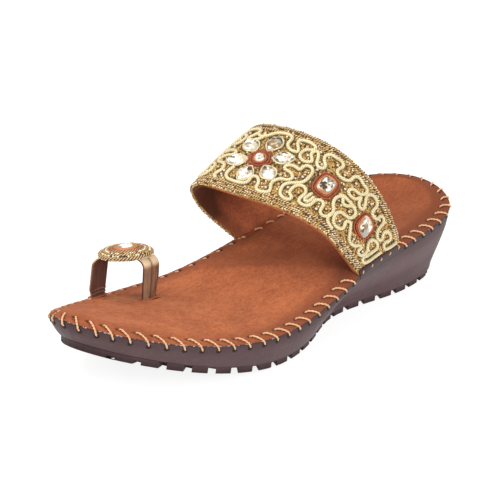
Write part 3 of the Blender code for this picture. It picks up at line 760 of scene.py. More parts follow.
@dataclass
class Form:
    """Points, faces and marks of a piece while it is being made."""

    points: list[Array] = field(default_factory=list)
    faces: list[tuple[int, ...]] = field(default_factory=list)
    marks: list[dict[str, Array]] = field(default_factory=list)
    count: int = 0

    def add(self, points: Array, faces: Sequence[Sequence[int]], **marks: Array | float) -> None:
        """Add points and faces.

        Args:
            points: Metres in the row frame.
            faces: Indices into those points.
            marks: A number for each point, or one for all of them.
        """
        flat = points.reshape(-1, 3)
        self.faces += [tuple(self.count + k for k in face) for face in faces]
        self.points.append(flat)
        self.marks.append({key: np.broadcast_to(np.ravel(value), len(flat)) for key, value in marks.items()})
        self.count += len(flat)

    def tube(
        self, path: Array, out: Array, radius: float, sides: int = 8, lobes: int = 0,
        pitch: float = 3.0, depth: float = 0.16, closed: bool = False,
    ) -> None:
        """Add a cord, laid or twisted, along a path.

        Args:
            path: Metres in the row frame.
            out: Direction out of the surface, for all points or each one.
            radius: Radius in metres.
            sides: Points round the cord.
            lobes: Number of twisted strands, 0 for a plain round cord.
            pitch: Length in millimetres over which a strand goes once round.
            depth: Depth of the grooves between strands, as a share of the radius.
            closed: Whether the path is a ring.
        """
        side, over = flanks(path, out, closed)
        angle = np.linspace(0.0, math.tau, sides, endpoint=False)[None, :]
        groove = np.zeros((len(path), sides))
        if lobes:
            turn = angle * lobes - math.tau * lobes * (lengths(path) / MM)[:, None] / pitch
            groove = (0.5 - 0.5 * np.cos(turn)) ** 2
        reach = radius * (1.0 - depth * groove)
        shift = side[:, None] * (reach * np.cos(angle))[..., None]
        ring = path[:, None] + shift + over[:, None] * (reach * np.sin(angle))[..., None]
        faces = lattice(len(path), sides, True, True) if closed else drum(len(path), sides)
        self.add(ring, faces, groove=groove)

    def plies(self, path: Array, out: Array, radius: float, pitch: float) -> None:
        """Add a cord of two separate strands twisted together.

        Args:
            path: Metres in the row frame.
            out: Direction out of the surface at each point.
            radius: Radius of the whole cord in metres.
            pitch: Length in millimetres over which a strand goes once round.
        """
        side, over = flanks(path, out)
        run = lengths(path) / MM
        for start in (0.0, 0.5):
            turn = (math.tau * (start + run / pitch))[:, None]
            strand = path + (side * np.cos(turn) + over * np.sin(turn)) * radius * 0.5
            self.tube(strand, out, radius * 0.56, 6)

    def beads(
        self, places: Array, normals: Array, radii: Array | float, tones: Array | float, flat: float
    ) -> None:
        """Add round beads.

        Args:
            places: Middle of each bead in metres.
            normals: Axis of each bead, or one for all of them.
            radii: Radius of each in metres.
            tones: Tone of each from 0 to 1.
            flat: Height of a bead as a share of its width.
        """
        rings, sides = 4, 8
        angle = np.linspace(0.0, math.tau, sides, endpoint=False)
        rows = [-UP[None]]
        for lean in (math.pi * k / (rings + 1) - math.pi / 2 for k in range(1, rings + 1)):
            width, rise = math.cos(lean), np.full(sides, math.sin(lean))
            rows.append(np.stack([np.cos(angle) * width, np.sin(angle) * width, rise], axis=1))
        ball = np.vstack([*rows, UP])
        top, last = len(ball) - 1, 1 + (rings - 1) * sides
        faces = [[0, 1 + (k + 1) % sides, 1 + k] for k in range(sides)]
        faces += [[1 + k for k in face] for face in lattice(rings, sides, wrap_columns=True)]
        faces += [[top, last + k, last + (k + 1) % sides] for k in range(sides)]
        axis = unit(np.broadcast_to(normals, places.shape))
        first = unit(np.cross(np.where(np.abs(axis[:, 2:3]) > 0.9, (1.0, 0.0, 0.0), UP), axis))
        second = np.cross(axis, first)
        shaped = first[:, None] * ball[None, :, 0:1] + second[:, None] * ball[None, :, 1:2]
        shaped = shaped + axis[:, None] * ball[None, :, 2:3] * flat
        points = places[:, None] + shaped * np.broadcast_to(radii, len(axis))[:, None, None]
        starts = range(0, len(axis) * len(ball), len(ball))
        listed = [[start + k for k in face] for start in starts for face in faces]
        self.add(points, listed, tone=np.repeat(np.broadcast_to(tones, len(axis)), len(ball)))

    def piece(self, name: str, finish: Finish, slot: str, sharp: float | None = 50.0) -> bpy.types.Object:
        """Make the object, dress it and let it ride on the sandal.

        Args:
            name: Name of the piece.
            finish: Its finish.
            slot: The record's material slot; not used.
            sharp: Angle in degrees over which an edge stays hard, or None for flat faces.

        Returns:
            The object.
        """
        mesh = bpy.data.meshes.new(name)
        mesh.from_pydata(np.vstack(self.points).tolist(), [], self.faces)
        tended(mesh)
        for key in sorted({key for marks in self.marks for key in marks}):
            values = [marks.get(key, np.zeros(len(points))) for marks, points in zip(self.marks, self.points)]
            layer = mesh.attributes.new(key, "FLOAT", "POINT")
            layer.data.foreach_set("value", np.concatenate(values).astype(np.float32))
        if sharp is None:
            mesh.shade_flat()
        else:
            mesh.shade_smooth()
            mesh.set_sharp_from_angle(angle=math.radians(sharp))
        mesh.materials.append(finish.material())
        obj = bpy.data.objects.new(name, mesh)
        bpy.context.scene.collection.objects.link(obj)
        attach(obj, "root")
        LOG.info("%s: %d points, %d faces", name, self.count, len(self.faces))
        return obj


def tended(mesh: bpy.types.Mesh, reach: float = 0.0) -> None:
    """Turn a mesh's faces outwards, after points closer than a reach in metres are joined.

    Args:
        mesh: The mesh, changed in place.
        reach: Distance in metres, or zero to join no points.
    """
    work = bmesh.new()
    work.from_mesh(mesh)
    if reach:
        bmesh.ops.remove_doubles(work, verts=work.verts, dist=reach)
    bmesh.ops.recalc_face_normals(work, faces=work.faces)
    work.to_mesh(mesh)
    work.free()


# Sole


@dataclass(frozen=True)
class Sole:
    """Outline of the sole: its rim, its side wall and the places along them."""

    # along, medial half-width, lateral half-width, rim height, arch, insets of the tread
    rows: tuple[tuple[float, ...], ...] = (
        (0, 0.0, 0.0, 39.2, 0.0, 10.0, 10.0),
        (6, 22.4, 20.5, 37.7, -1.2, 9.5, 9.5),
        (16, 33.1, 30.2, 35.0, -1.4, 8.5, 8.5),
        (32, 37.4, 34.1, 31.9, -0.8, 7.5, 7.3),
        (55, 35.5, 35.5, 29.4, 0.0, 8.0, 7.4),
        (80, 32.2, 37.1, 27.6, 1.5, 10.0, 12.3),
        (105, 30.0, 39.4, 25.0, 2.7, 10.5, 14.7),
        (130, 33.1, 42.4, 20.9, 1.5, 8.5, 9.2),
        (155, 39.1, 44.4, 17.5, -0.2, 6.0, 4.4),
        (180, 44.5, 44.0, 16.9, -1.2, 5.5, 4.4),
        (200, 44.4, 38.7, 18.2, -1.1, 5.5, 4.8),
        (220, 40.6, 29.6, 21.3, -0.7, 5.2, 5.4),
        (236, 34.3, 18.6, 25.2, -0.5, 5.0, 5.0),
        (249, 25.0, 7.8, 29.4, -0.2, 5.0, 5.0),
        (256, 9.8, -9.8, 32.0, 0.0, 5.0, 5.0),
    )
    # share of the way down, shares of the inset at the heel, waist and ball
    wall: tuple[Four, ...] = (
        (0.00, 0.00, 0.00, 0.00),
        (0.12, 0.03, 0.08, -0.03),
        (0.28, 0.15, 0.32, 0.02),
        (0.45, 0.34, 0.62, 0.16),
        (0.62, 0.56, 0.86, 0.38),
        (0.78, 0.78, 1.00, 0.62),
        (0.91, 0.95, 1.04, 0.84),
        (1.00, 1.00, 1.00, 1.00),
    )
    stations: Triple = (45.0, 98.0, 145.0)
    lip: float = 0.9
    tread: float = 3.4
    spring_start: float = 160.0
    spring_height: float = 18.0
    spring_end: float = 250.0

    def rim(self) -> Rim:
        """Rim line through the rows.

        Returns:
            The rim, joined at the heel.
        """
        medial = [(-r[1], r[0], r[3] + r[4], r[5]) for r in self.rows]
        lateral = [(r[2], r[0], r[3], r[6]) for r in self.rows[-2:0:-1]]
        return Rim(self, smooth_line(medial + lateral, closed=True))

    def ground(self, along: Array) -> Array:
        """Height of the tread's underside."""
        share = np.clip((along - self.spring_start) / (self.spring_end - self.spring_start), 0.0, None)
        return self.spring_height * share**2

    def wall_inset(self, along: Array, height: Array, foot: Array, depth: Array | float) -> Array:
        """How far the side wall lies inside the rim.

        Args:
            along: Places along the sole.
            height: Heights of the rim there.
            foot: Insets of the tread there.
            depth: Depth under the rim.

        Returns:
            The insets in millimetres.
        """
        base = self.ground(along) + self.tread + GAP
        share = np.clip(depth / (height - base), 0.0, 1.0)
        table = np.array(self.wall)
        parts = np.stack([np.interp(share, table[:, 0], table[:, k]) for k in (1, 2, 3)])
        mixed = np.empty(share.shape)
        for index in np.ndindex(share.shape):
            mixed[index] = np.interp(along[index], self.stations, parts[(slice(None), *index)])
        return (foot - self.lip) * mixed


class Rim:
    """Rim of the sole, measured from the back of the heel down the medial side and back."""

    def __init__(self, sole: Sole, curve: Array) -> None:
        """Measure the line.

        Args:
            sole: Outline that it belongs to.
            curve: Dense closed line: across, along, height and inset of the tread.
        """
        self.sole = sole
        self.curve = curve
        self.run = lengths(curve, 2)
        self.length = float(self.run[-1])
        self.toe = float(self.run[int(np.argmax(curve[:, 1]))])
        step = np.roll(curve[:-1, :2], -1, axis=0) - np.roll(curve[:-1, :2], 1, axis=0)
        step = unit(np.vstack([step, step[:1]]))
        self.inward = np.stack([step[:, 1], -step[:, 0]], axis=1)

    def read(self, way: Array) -> Array:
        """Across, along, height and tread inset at some distances round the rim."""
        way = np.mod(way, self.length)
        return np.stack([np.interp(way, self.run, self.curve[:, k]) for k in range(4)], axis=-1)

    def inwards(self, way: Array) -> Array:
        """Level unit direction into the sandal."""
        way = np.mod(way, self.length)
        return unit(np.stack([np.interp(way, self.run, self.inward[:, k]) for k in range(2)], axis=-1))

    def spot(self, way: Array, inset: Array | float, up: Array | float) -> Array:
        """Places near the rim.

        Args:
            way: Distances round the rim.
            inset: How far inside it.
            up: How far above it.

        Returns:
            Millimetres across, along and up.
        """
        base, inward = self.read(way), self.inwards(way)
        inset = np.broadcast_to(inset, np.shape(way))
        flat = base[..., :2] + inward * inset[..., None]
        return np.concatenate([flat, (base[..., 2] + up)[..., None]], axis=-1)

    def wall(self, way: Array, depth: Array | float, out: Array | float = 0.0) -> Array:
        """Places on the side wall.

        Args:
            way: Distances round the rim.
            depth: Depth under it.
            out: How far they stand out of the wall.

        Returns:
            Millimetres across, along and up.
        """
        base = self.read(way)
        inset = self.sole.wall_inset(base[..., 1], base[..., 2], base[..., 3], depth)
        return self.spot(way, inset - out, -np.asarray(depth))

    def side(self, medial: bool) -> Array:
        """Points of one side in order along the sole, with their distances round the rim last.

        Args:
            medial: Whether it is the big-toe side.

        Returns:
            Rows of across, along, up and distance.
        """
        dense = self.run <= self.toe if medial else self.run >= self.toe
        points = np.column_stack([self.curve, self.run])[dense]
        return points[np.argsort(points[:, 1])]

    def at_along(self, medial: bool, along: Array | Sequence[float]) -> Array:
        """Distances round the rim at places along one side."""
        side = self.side(medial)
        return np.interp(along, side[:, 1], side[:, -1])

    def ring(self, count: int) -> Array:
        """Distances round the rim for a ring of points, as many on each side.

        Args:
            count: Number of points, an even one.

        Returns:
            Distance of each point.
        """
        half = count // 2
        there = np.linspace(0.0, self.toe, half + 1)
        back = np.linspace(self.toe, self.length, half + 1)
        return np.concatenate([there[:-1], back[:-1]])


# Strap surface


@dataclass
class StrapSurface:
    """Outer face of the instep strap, with places on it in millimetres round and along.

    A place is counted round the strap from its little-toe foot, and from its front edge
    to its rear edge.
    """

    rim: Rim
    folds: tuple[Four, ...] = (
        (36.8, 33.5, 36.9, 37.0), (34.3, 41.0, 35.0, 47.5), (30.5, 48.5, 31.0, 58.0),
        (22.7, 54.3, 24.3, 68.0), (9.0, 58.3, 12.0, 77.3), (-7.0, 59.8, -4.0, 82.3),
        (-23.0, 61.0, -19.5, 83.3), (-34.5, 60.3, -32.0, 80.5), (-41.8, 54.5, -40.3, 71.5),
        (-43.0, 46.5, -43.0, 59.0), (-40.3, 39.5, -41.8, 46.5), (-35.5, 33.5, -37.5, 37.0),
    )
    front: Four = (105.5, 111.0, 0.75, 0.0)
    rear: Four = (69.0, 75.0, 0.38, 7.0)
    flare_top: float = 56.0
    girth: float = 158.8
    band: float = 47.0
    wall: float = 2.6
    crown: float = 0.8
    inset: float = 0.5
    blend: float = 0.2
    around: int = 320
    along: int = 94

    def __post_init__(self) -> None:
        """Work out the grid of places and normals."""
        front = self.edge(self.front, [row[:2] for row in self.folds])
        rear = self.edge(self.rear, [row[2:] for row in self.folds])
        share = np.linspace(0.0, 1.0, self.along + 1)
        grid = front[:, None] * (1.0 - share)[None, :, None] + rear[:, None] * share[None, :, None]
        for medial, foot in ((False, 0), (True, self.around)):
            wanted = np.array([self.foot(medial, s) for s in grid[foot, :, 1]])
            shift = wanted - grid[foot]
            reach = np.abs(np.arange(self.around + 1) - foot) / (self.blend * self.around)
            grid += shift[None] * (np.clip(1.0 - reach, 0.0, None) ** 2)[:, None, None]
        rise = self.crown * 4.0 * share * (1.0 - share)
        fade = np.sin(np.pi * np.linspace(0.0, 1.0, self.around + 1)) ** 0.5
        grid = grid + self.normals_of(grid) * (fade[:, None] * rise[None, :])[:, :, None]
        self.grid = grid
        self.normals = self.normals_of(grid)

    @property
    def seat(self) -> float:
        """How far inside the rim the lining stands at the feet, with a gap."""
        return self.inset + self.wall + GAP

    def feet(self, medial: bool) -> Pair:
        """Where the front and the rear edge stand on one side of the sole."""
        flare = self.rear[3] if medial else 0.0
        return self.front[medial], self.rear[medial] - flare

    def foot(self, medial: bool, along: float) -> Array:
        """Place of the strap's foot on the rim.

        Args:
            medial: Whether it is the big-toe side.
            along: Place along the sole.

        Returns:
            Across, along and up.
        """
        side = self.rim.side(medial)
        x, z = (np.interp(along, side[:, 1], side[:, k]) for k in (0, 2))
        return np.array((x + (self.inset if medial else -self.inset), along, z + GAP + 0.1))

    def edge(self, ends: Four, folds: Sequence[Pair]) -> Array:
        """Draw one edge of the strap.

        Args:
            ends: Places of its two feet along the sole, its lean to the toe, and the
                flare of its medial end to the heel.
            folds: Across and height of each fold.

        Returns:
            Even points from the lateral foot to the medial foot.
        """
        lateral, medial = self.foot(False, ends[0]), self.foot(True, ends[1])
        points = [lateral]
        for x, z in folds:
            share = (lateral[0] - x) / (lateral[0] - medial[0])
            foot = lateral + (medial - lateral) * share
            points.append(np.array((x, foot[1] + ends[2] * (z - foot[2]), z)))
        places = np.array([*points, medial])[:, [0, 2, 1]]
        line = evenly(smooth_line(places)[:, [0, 2, 1]], self.around + 1, 3)
        far = line[self.around // 2 :]
        down = np.clip((self.flare_top - far[:, 2]) / (self.flare_top - medial[2]), 0.0, 1.0)
        far[:, 1] -= ends[3] * down**1.5
        return line

    @staticmethod
    def normals_of(grid: Array) -> Array:
        """Unit normals of a grid of places, pointing out of the strap.

        Args:
            grid: Places, row by row.

        Returns:
            A normal for each place.
        """
        normals = unit(np.cross(np.gradient(grid, axis=1), np.gradient(grid, axis=0)))
        middle = normals[len(grid) // 2, grid.shape[1] // 2]
        return normals if middle[2] > 0 else -normals

    def read(self, grid: Array, a: Array, b: Array) -> Array:
        """Value of a grid at places round and along the strap.

        Args:
            grid: Grid to read.
            a: Millimetres round.
            b: Millimetres along.

        Returns:
            The values, run on in a straight line past the edges.
        """
        u = np.asarray(a, dtype=float) / self.girth * self.around
        v = np.asarray(b, dtype=float) / self.band * self.along
        i = np.clip(np.floor(u).astype(int), 0, self.around - 1)
        j = np.clip(np.floor(v).astype(int), 0, self.along - 1)
        u, v = (u - i)[..., None], (v - j)[..., None]
        low = grid[i, j] * (1 - v) + grid[i, j + 1] * v
        high = grid[i + 1, j] * (1 - v) + grid[i + 1, j + 1] * v
        return low * (1 - u) + high * u

    def lay(self, a: Array, b: Array, lift: Array | float) -> tuple[Array, Array]:
        """Places on the strap in the row frame.

        Args:
            a: Millimetres round.
            b: Millimetres along.
            lift: Millimetres out of the surface.

        Returns:
            Places in metres and unit normals.
        """
        a, b = np.broadcast_arrays(np.asarray(a, dtype=float), np.asarray(b, dtype=float))
        normal = unit(self.read(self.normals, a, b))
        lift = np.broadcast_to(lift, a.shape)
        place = self.read(self.grid, a, b) + normal * lift[..., None]
        low = np.minimum(np.abs(a), np.abs(self.girth - a))
        level = np.clip(1.0 - low / 5.0, 0.0, 1.0)
        place[..., 2] -= np.where(lift < 0.0, normal[..., 2] * lift * level, 0.0)
        return world(place), turned(normal)

    def frame(self, share_round: float, share_along: float, lift: float) -> Matrix:
        """Frame on the strap: X round it, Y towards the toe, Z out.

        Args:
            share_round: Share of the way round.
            share_along: Share of the way from the front to the rear.
            lift: Millimetres out of the surface.

        Returns:
            The frame, in metres.
        """
        a, b = share_round * self.girth, share_along * self.band
        places, normals = self.lay(np.array([a - 0.5, a, a + 0.5]), np.array([b, b, b]), 0.0)
        normal = Vector(normals[1])
        step = Vector(places[2] - places[0])
        x_axis = (step - normal * step.dot(normal)).normalized()
        frame = Matrix((x_axis, normal.cross(x_axis), normal)).transposed().to_4x4()
        frame.translation = Vector(places[1]) + normal * lift * MM
        return frame

    def round_stone(self, centre: Pair, outline: Array, lift: float) -> tuple[Array, Array]:
        """Places and normals of an outline about a centre, whose second axis runs to the toe."""
        return self.lay(centre[0] + outline[:, 0], centre[1] - outline[:, 1], lift)


# Sewn edge


@dataclass
class WhipStitches:
    """Waxed cord sewn over the edge of the footbed into holes in the side wall."""

    rim: Rim
    strap: StrapSurface
    count: int = 73
    start: float = 414.6
    # along, depth of the lower hole, inset of the upper hole, slant
    shape: tuple[Four, ...] = (
        (0, 0.6, 4.0, 5.3), (100, 0.6, 4.0, 5.3), (140, 0.7, 3.9, 5.3), (170, 1.0, 3.8, 5.3),
        (200, 1.2, 3.5, 5.4), (225, 1.5, 3.3, 5.2), (242, 1.6, 3.3, 4.4), (256, 1.7, 3.5, 4.2),
    )
    # how far the stitches at the toe are shifted, against their distance past it
    drift: tuple[Pair, ...] = ((-50, 0.0), (-4, 2.1), (4, 2.0), (12, 1.7), (20, 0.6), (28, 0.0))
    # round the strap, lift and along of a stitch over a foot of the strap
    foot_stitch: tuple[Triple, ...] = (
        (2.0, -0.3, 0.9), (1.9, 0.4, 0.85), (1.7, 0.8, 0.7),
        (1.3, 0.95, 0.4), (0.9, 0.7, 0.1), (0.6, 0.1, 0.0),
    )
    # reach and lift of the lip and the bottom of a hole
    cup_lip: tuple[Pair, ...] = (
        (0.02, 0.10), (0.75, 0.10), (1.0, 0.16), (1.25, 0.10), (1.5, -0.15), (1.4, -0.6), (0.02, -0.6)
    )
    inner: tuple[float, ...] = (98.7, 88.4, 77.5, 71.3)
    radius: float = 0.47
    twist: float = 3.0
    hole: float = 0.85

    def lower(self) -> Array:
        """Distances round the rim of the holes in the wall."""
        even = np.mod(self.start - np.arange(self.count) * self.rim.length / self.count, self.rim.length)
        return even + np.interp(even - self.rim.toe, *np.array(self.drift).T)

    def sizes(self, way: float) -> Triple:
        """Depth of the lower hole, inset of the upper hole and slant at a place.

        Args:
            way: Distance round the rim.

        Returns:
            The three sizes, in millimetres.
        """
        table = np.array(self.shape)
        along = self.rim.read(np.array(way))[1]
        depth, inset, slant = (float(np.interp(along, table[:, 0], table[:, k])) for k in (1, 2, 3))
        return depth, inset, slant

    def over_strap(self) -> Array:
        """Which stitches cross a foot of the strap: 0 for none, 1 lateral, 2 medial.

        Returns:
            A number for each stitch.
        """
        ways = self.lower()
        out = np.zeros(len(ways), dtype=int)
        for medial, mark in ((False, 1), (True, 2)):
            ends = self.rim.at_along(medial, self.strap.feet(medial))
            out[(ways > min(ends) - 1.0) & (ways < max(ends) + 1.0)] = mark
        return out

    def over_edge(self, way: float) -> tuple[Array, Array]:
        """Path of one stitch over the footbed's edge.

        Args:
            way: Distance round the rim of its lower hole.

        Returns:
            Dense places and outward directions, in the row frame.
        """
        depth, inset, slant = self.sizes(way)
        sink = 0.0
        if way < self.rim.toe - 8.0:
            sink = 0.3 + 0.6 * float(ease((self.rim.read(np.array(way))[1] - 40.0) / 25.0))
        # inset, up, share of the slant
        rows = (
            (inset + 0.3, 1.2, 1.00), (inset - 0.1, 2.2, 0.98),
            (0.78 * inset, 2.42 - sink, 0.84), (0.48 * inset, 2.15 - sink, 0.62),
            (0.2 * inset, 1.7 - sink, 0.42), (-0.15, 1.1 - sink, 0.26),
            (-0.55, 0.35 - sink, 0.14), (-0.6, -0.5 * depth, 0.06),
            (-0.35, -depth + 0.05, 0.00), (0.6, -depth - 0.15, 0.00),
        )
        line = evenly(smooth_line(rows, fine=8), 22)
        ways = way - line[:, 2] * slant
        under = np.clip(-line[:, 1], 0.0, None)
        base = self.rim.read(ways)
        wall = self.rim.sole.wall_inset(base[:, 1], base[:, 2], base[:, 3], under)
        places = self.rim.spot(ways, line[:, 0] + wall, line[:, 1])
        inward = self.rim.inwards(ways)
        lean = ease((line[:, 0] + 0.5) / 4.0)[:, None]
        out = np.concatenate([-inward * (1.0 - lean), 0.25 + lean], axis=1)
        return world(places), turned(unit(out))

    def over_foot(self, way: float, medial: bool) -> tuple[Array, Array]:
        """Path of one stitch over the foot of the strap.

        Args:
            way: Distance round the rim of its lower hole.
            medial: Which foot.

        Returns:
            Dense places and outward directions, in the row frame.
        """
        along = self.rim.read(np.array(way))[1]
        front, rear = self.strap.feet(medial)
        b = (front - along) / (front - rear) * self.strap.band
        line = evenly(smooth_line(self.foot_stitch, fine=8), 16)
        a = self.strap.girth - line[:, 0] if medial else line[:, 0]
        return self.strap.lay(a, b + 0.2 + 1.1 * line[:, 2], line[:, 1])

    def inner_dash(self, along: float, medial: bool) -> tuple[Array, Array]:
        """Path of one stitch where the lining meets the footbed.

        Args:
            along: Its middle along the sole.
            medial: Which foot.

        Returns:
            Dense places and upward directions, in the row frame.
        """
        share = np.linspace(0.0, 1.0, 12)
        ways = self.rim.at_along(medial, along + 1.9 * (0.5 - share) * 2.0)
        up = 2.05 + 0.6 * np.sin(np.pi * share) ** 0.6
        return world(self.rim.spot(ways, self.strap.seat + 0.1 + 2.0 * share, up)), UP

    def welt(self, medial: bool) -> tuple[Array, Array]:
        """Path of the suede welt between the lining and the footbed on one side.

        Args:
            medial: Whether it is the big-toe side.

        Returns:
            Points in metres, and the direction out of it.
        """
        front, rear = self.strap.feet(medial)
        ways = self.rim.at_along(medial, np.linspace(front - 0.8, rear + 0.8, 40))
        return world(self.rim.spot(ways, self.strap.seat + 0.15, 1.15)), UP

    def build(self) -> None:
        """Make the stitches and their holes."""
        cord, holes, inner, welt = Form(), Form(), Form(), Form()
        for way, foot in zip(self.lower(), self.over_strap()):
            if foot:
                path, out = self.over_foot(float(way), foot == 2)
                middle, outward = path[-1], out[-1]
            else:
                path, out = self.over_edge(float(way))
                middle = world(self.rim.wall(np.array([way]), self.sizes(float(way))[0] + 0.45, 0.0))[0]
                outward = turned(np.append(-self.rim.inwards(np.array([way]))[0], 0.0))
            cord.plies(path, out, self.radius * MM, self.twist)
            self.cup(holes, middle, outward)
        for medial in (False, True):
            for along in self.inner:
                inner.plies(*self.inner_dash(along, medial), 0.9 * self.radius * MM, self.twist)
            welt.tube(*self.welt(medial), 0.75 * MM, sides=10)
        welt.piece("strap_welts", Finish.FOOTBED, "suede")
        cord.piece("whip_stitches", Finish.STITCH, "suede")
        inner.piece("strap_inner_stitches", Finish.PAINTED_LIGHT_STITCH, "suede")
        holes.piece("stitch_holes", Finish.SHADOW, "wall_rubber")

    def cup(self, form: Form, middle: Array, outward: Array) -> None:
        """Add one hole with its puckered lip.

        Args:
            form: Form that holds the holes.
            middle: Its middle on the wall.
            outward: Direction out of the wall.
        """
        axis = unit(outward)
        first = unit(np.cross(axis, UP))
        second = np.cross(axis, first)
        angle = np.linspace(0.0, math.tau, 14, endpoint=False)
        rings = []
        for reach, lift in self.cup_lip:
            size = self.hole * reach * MM
            flat = first * np.cos(angle)[:, None] * size * 1.15 + second * np.sin(angle)[:, None] * size
            rings.append(middle + flat + axis * lift * MM)
        form.add(np.array(rings), drum(len(rings), len(angle), inward=True))


# Footbed


@dataclass
class Footbed:
    """Padded footbed under brushed suede, rolled over the rim and sewn down."""

    rim: Rim
    strap: StrapSurface
    stitches: WhipStitches
    loop: ToeLoop
    edge: tuple[Pair, ...] = (
        (3.0, 0.45), (0.8, 0.3), (0.15, 0.34), (-0.05, 0.58), (0.1, 0.86), (0.5, 1.16), (1.1, 1.44),
        (1.8, 1.68), (2.6, 1.9), (3.4, 2.06), (4.1, 2.16), (4.8, 2.24), (5.6, 2.36), (6.6, 2.46),
        (8.0, 2.5),
    )
    count: int = 800
    columns: int = 84
    # hollow under the heel and rise under the toes, with their spans along the sole
    cup: float = 1.8
    cup_span: Pair = (-10.0, 88.0)
    crest: float = 2.8
    crest_span: Pair = (148.0, 246.0)
    # how far round a stitch the suede is drawn in
    stitch_reach: float = 12.0
    # where the edge of the strap's painted shadow crosses the middle of the footbed, and its slope
    painted_shadow_line: Pair = (128.0, 0.69)

    def seat(self, ways: Array) -> Array:
        """How far the footbed's edge steps back for the strap's feet.

        Args:
            ways: Distances round the rim.

        Returns:
            Step at each distance, in millimetres.
        """
        out = np.zeros(len(ways))
        for medial in (False, True):
            ends = self.rim.at_along(medial, np.add(self.strap.feet(medial), (0.6, -0.6)))
            low, high = min(ends), max(ends)
            out = np.maximum(out, ease((ways - low + 0.8) / 1.6) * ease((high + 0.8 - ways) / 1.6))
        return out * (self.strap.seat + 0.25)

    def stitch_marks(self, ways: Array, insets: Array) -> tuple[Array, Array]:
        """Dents and holes that the stitches make in the edge.

        Args:
            ways: Distances round the rim.
            insets: Distances inside it.

        Returns:
            Depth of the dents in millimetres and darkness of the holes.
        """
        dent, dark = np.zeros(ways.shape), np.zeros(ways.shape)
        half = self.rim.length / 2
        for way in self.stitches.lower()[self.stitches.over_strap() == 0]:
            _, inset, slant = self.stitches.sizes(float(way))
            past = (ways - (way - slant) + half) % self.rim.length - half
            near = np.abs(past) < self.stitch_reach
            x, y = past[near], insets[near]
            share = np.clip((inset - y) / inset, 0.0, 1.0)
            across = (x - slant * share**1.35) * 0.8
            on = ease((inset + 0.6 - y) / 0.8)
            groove = bell(across, 0.8) * on
            pucker = bell(across + 1.1, 0.85) * on * ease(y / 0.6)
            hole = blot(x + 1.0, y - inset - 0.1, 0.95, 0.75)
            dent[near] += 0.45 * groove + 0.9 * hole
            shade = np.maximum(0.3 * groove, 0.5 * pucker)
            dark[near] = np.maximum(dark[near], np.clip(hole * 1.6 - 0.15, 0.0, 1.0) + shade)
        return dent, np.clip(dark, 0.0, 1.0)

    def slit_marks(self, across: Array, along: Array) -> tuple[Array, Array]:
        """Swelling and painted shade round the slits of the toe loop and in the crease between them.

        Args:
            across: Places across the foot.
            along: Places along the sole.

        Returns:
            Rise in millimetres and painted shade.
        """
        rise, dark = np.zeros(across.shape), np.zeros(across.shape)
        axis, width = self.loop.width_axis(), self.loop.width
        feet = self.loop.feet()
        for number, foot in enumerate(feet):
            x, y = across - foot[0], along - foot[1]
            run = np.clip(x * axis[0] + y * axis[1], -width / 2, width / 2)
            gap = np.hypot(x - axis[0] * run, y - axis[1] * run)
            end = np.abs(x * axis[0] + y * axis[1]) / width
            rise += 0.75 * bell(gap - 2.6, 1.4) - 0.8 * bell(gap, 1.2)
            rise += 0.45 * bell(gap, 9.0) * np.cos(gap * 1.1 + number) * (end > 0.5)
            dark = np.maximum(dark, 0.85 * bell(gap, 1.25))
        first, second = feet
        step = unit(second - first)
        run = (across - first[0]) * step[0] + (along - first[1]) * step[1]
        side = (across - first[0]) * -step[1] + (along - first[1]) * step[0]
        span = np.linalg.norm(second - first)
        within = ease((run + 3.0) / 6.0) * ease((span + 3.0 - run) / 6.0)
        bow = side + 3.0 * np.sin(np.pi * np.clip(run / span, 0.0, 1.0))
        rise += within * (0.35 * bell(bow + 5.5, 1.6) - 0.25 * bell(bow, 2.6))
        dark = np.maximum(dark, 0.06 * within * bell(bow, 2.2))
        # the corner behind the strap's lateral foot never sees light
        return rise, np.maximum(dark, 0.6 * blot(across - 36.0, along - 99.0, 6.0, 9.0))

    def undulation(self, places: Array) -> Array:
        """Soft unevenness of the padding, in millimetres.

        Args:
            places: Across, along and up.

        Returns:
            Height at each place.
        """
        out = np.empty(len(places))
        for k, (x, s, _) in enumerate(places):
            wide = noise.noise(Vector((x / 24.0, s / 30.0, 3.1)))
            out[k] = 0.32 * wide + 0.10 * noise.noise(Vector((x / 7.0, s / 9.0, 8.4)))
        return out

    def wear(self, places: Array, inset: Array) -> Array:
        """How much painted shade darkens the suede: on its rolled edge, under the heel, in the strap's shadow
        and in the corner behind the strap's lateral foot.

        Args:
            places: Millimetres on the sandal.
            inset: Distance inside the rim.

        Returns:
            Share from 0 to 1.
        """
        across, along = places[:, 0], places[:, 1]
        # painted shade: the heel darker than the toe, and the rolled edge darker than the middle
        heel = 0.5 * ease((100.0 - along) / 60.0)
        edge = ease((13.0 - inset) / 9.0) * (0.33 + 0.47 * ease((215.0 - along) / 60.0))
        edge *= 1.0 - 0.6 * (across < 0.0) * bell(along - 92.0, 18.0)
        # painted shadow of the strap on the footbed under it
        ahead = along - (self.painted_shadow_line[0] - self.painted_shadow_line[1] * across)
        band = ease((2.0 - ahead) / 7.0) * ease((ahead + 26.0) / 14.0)
        band = band * (0.3 + 0.35 * ease((8.0 - across) / 14.0)) * ease((across + 31.0) / 12.0)
        # painted shade in the corner behind the strap's lateral foot
        corner = blot(across - 33.0, along - 100.0, 10.0, 14.0)
        return np.clip(heel + edge + corner + band, 0.0, 1.0)

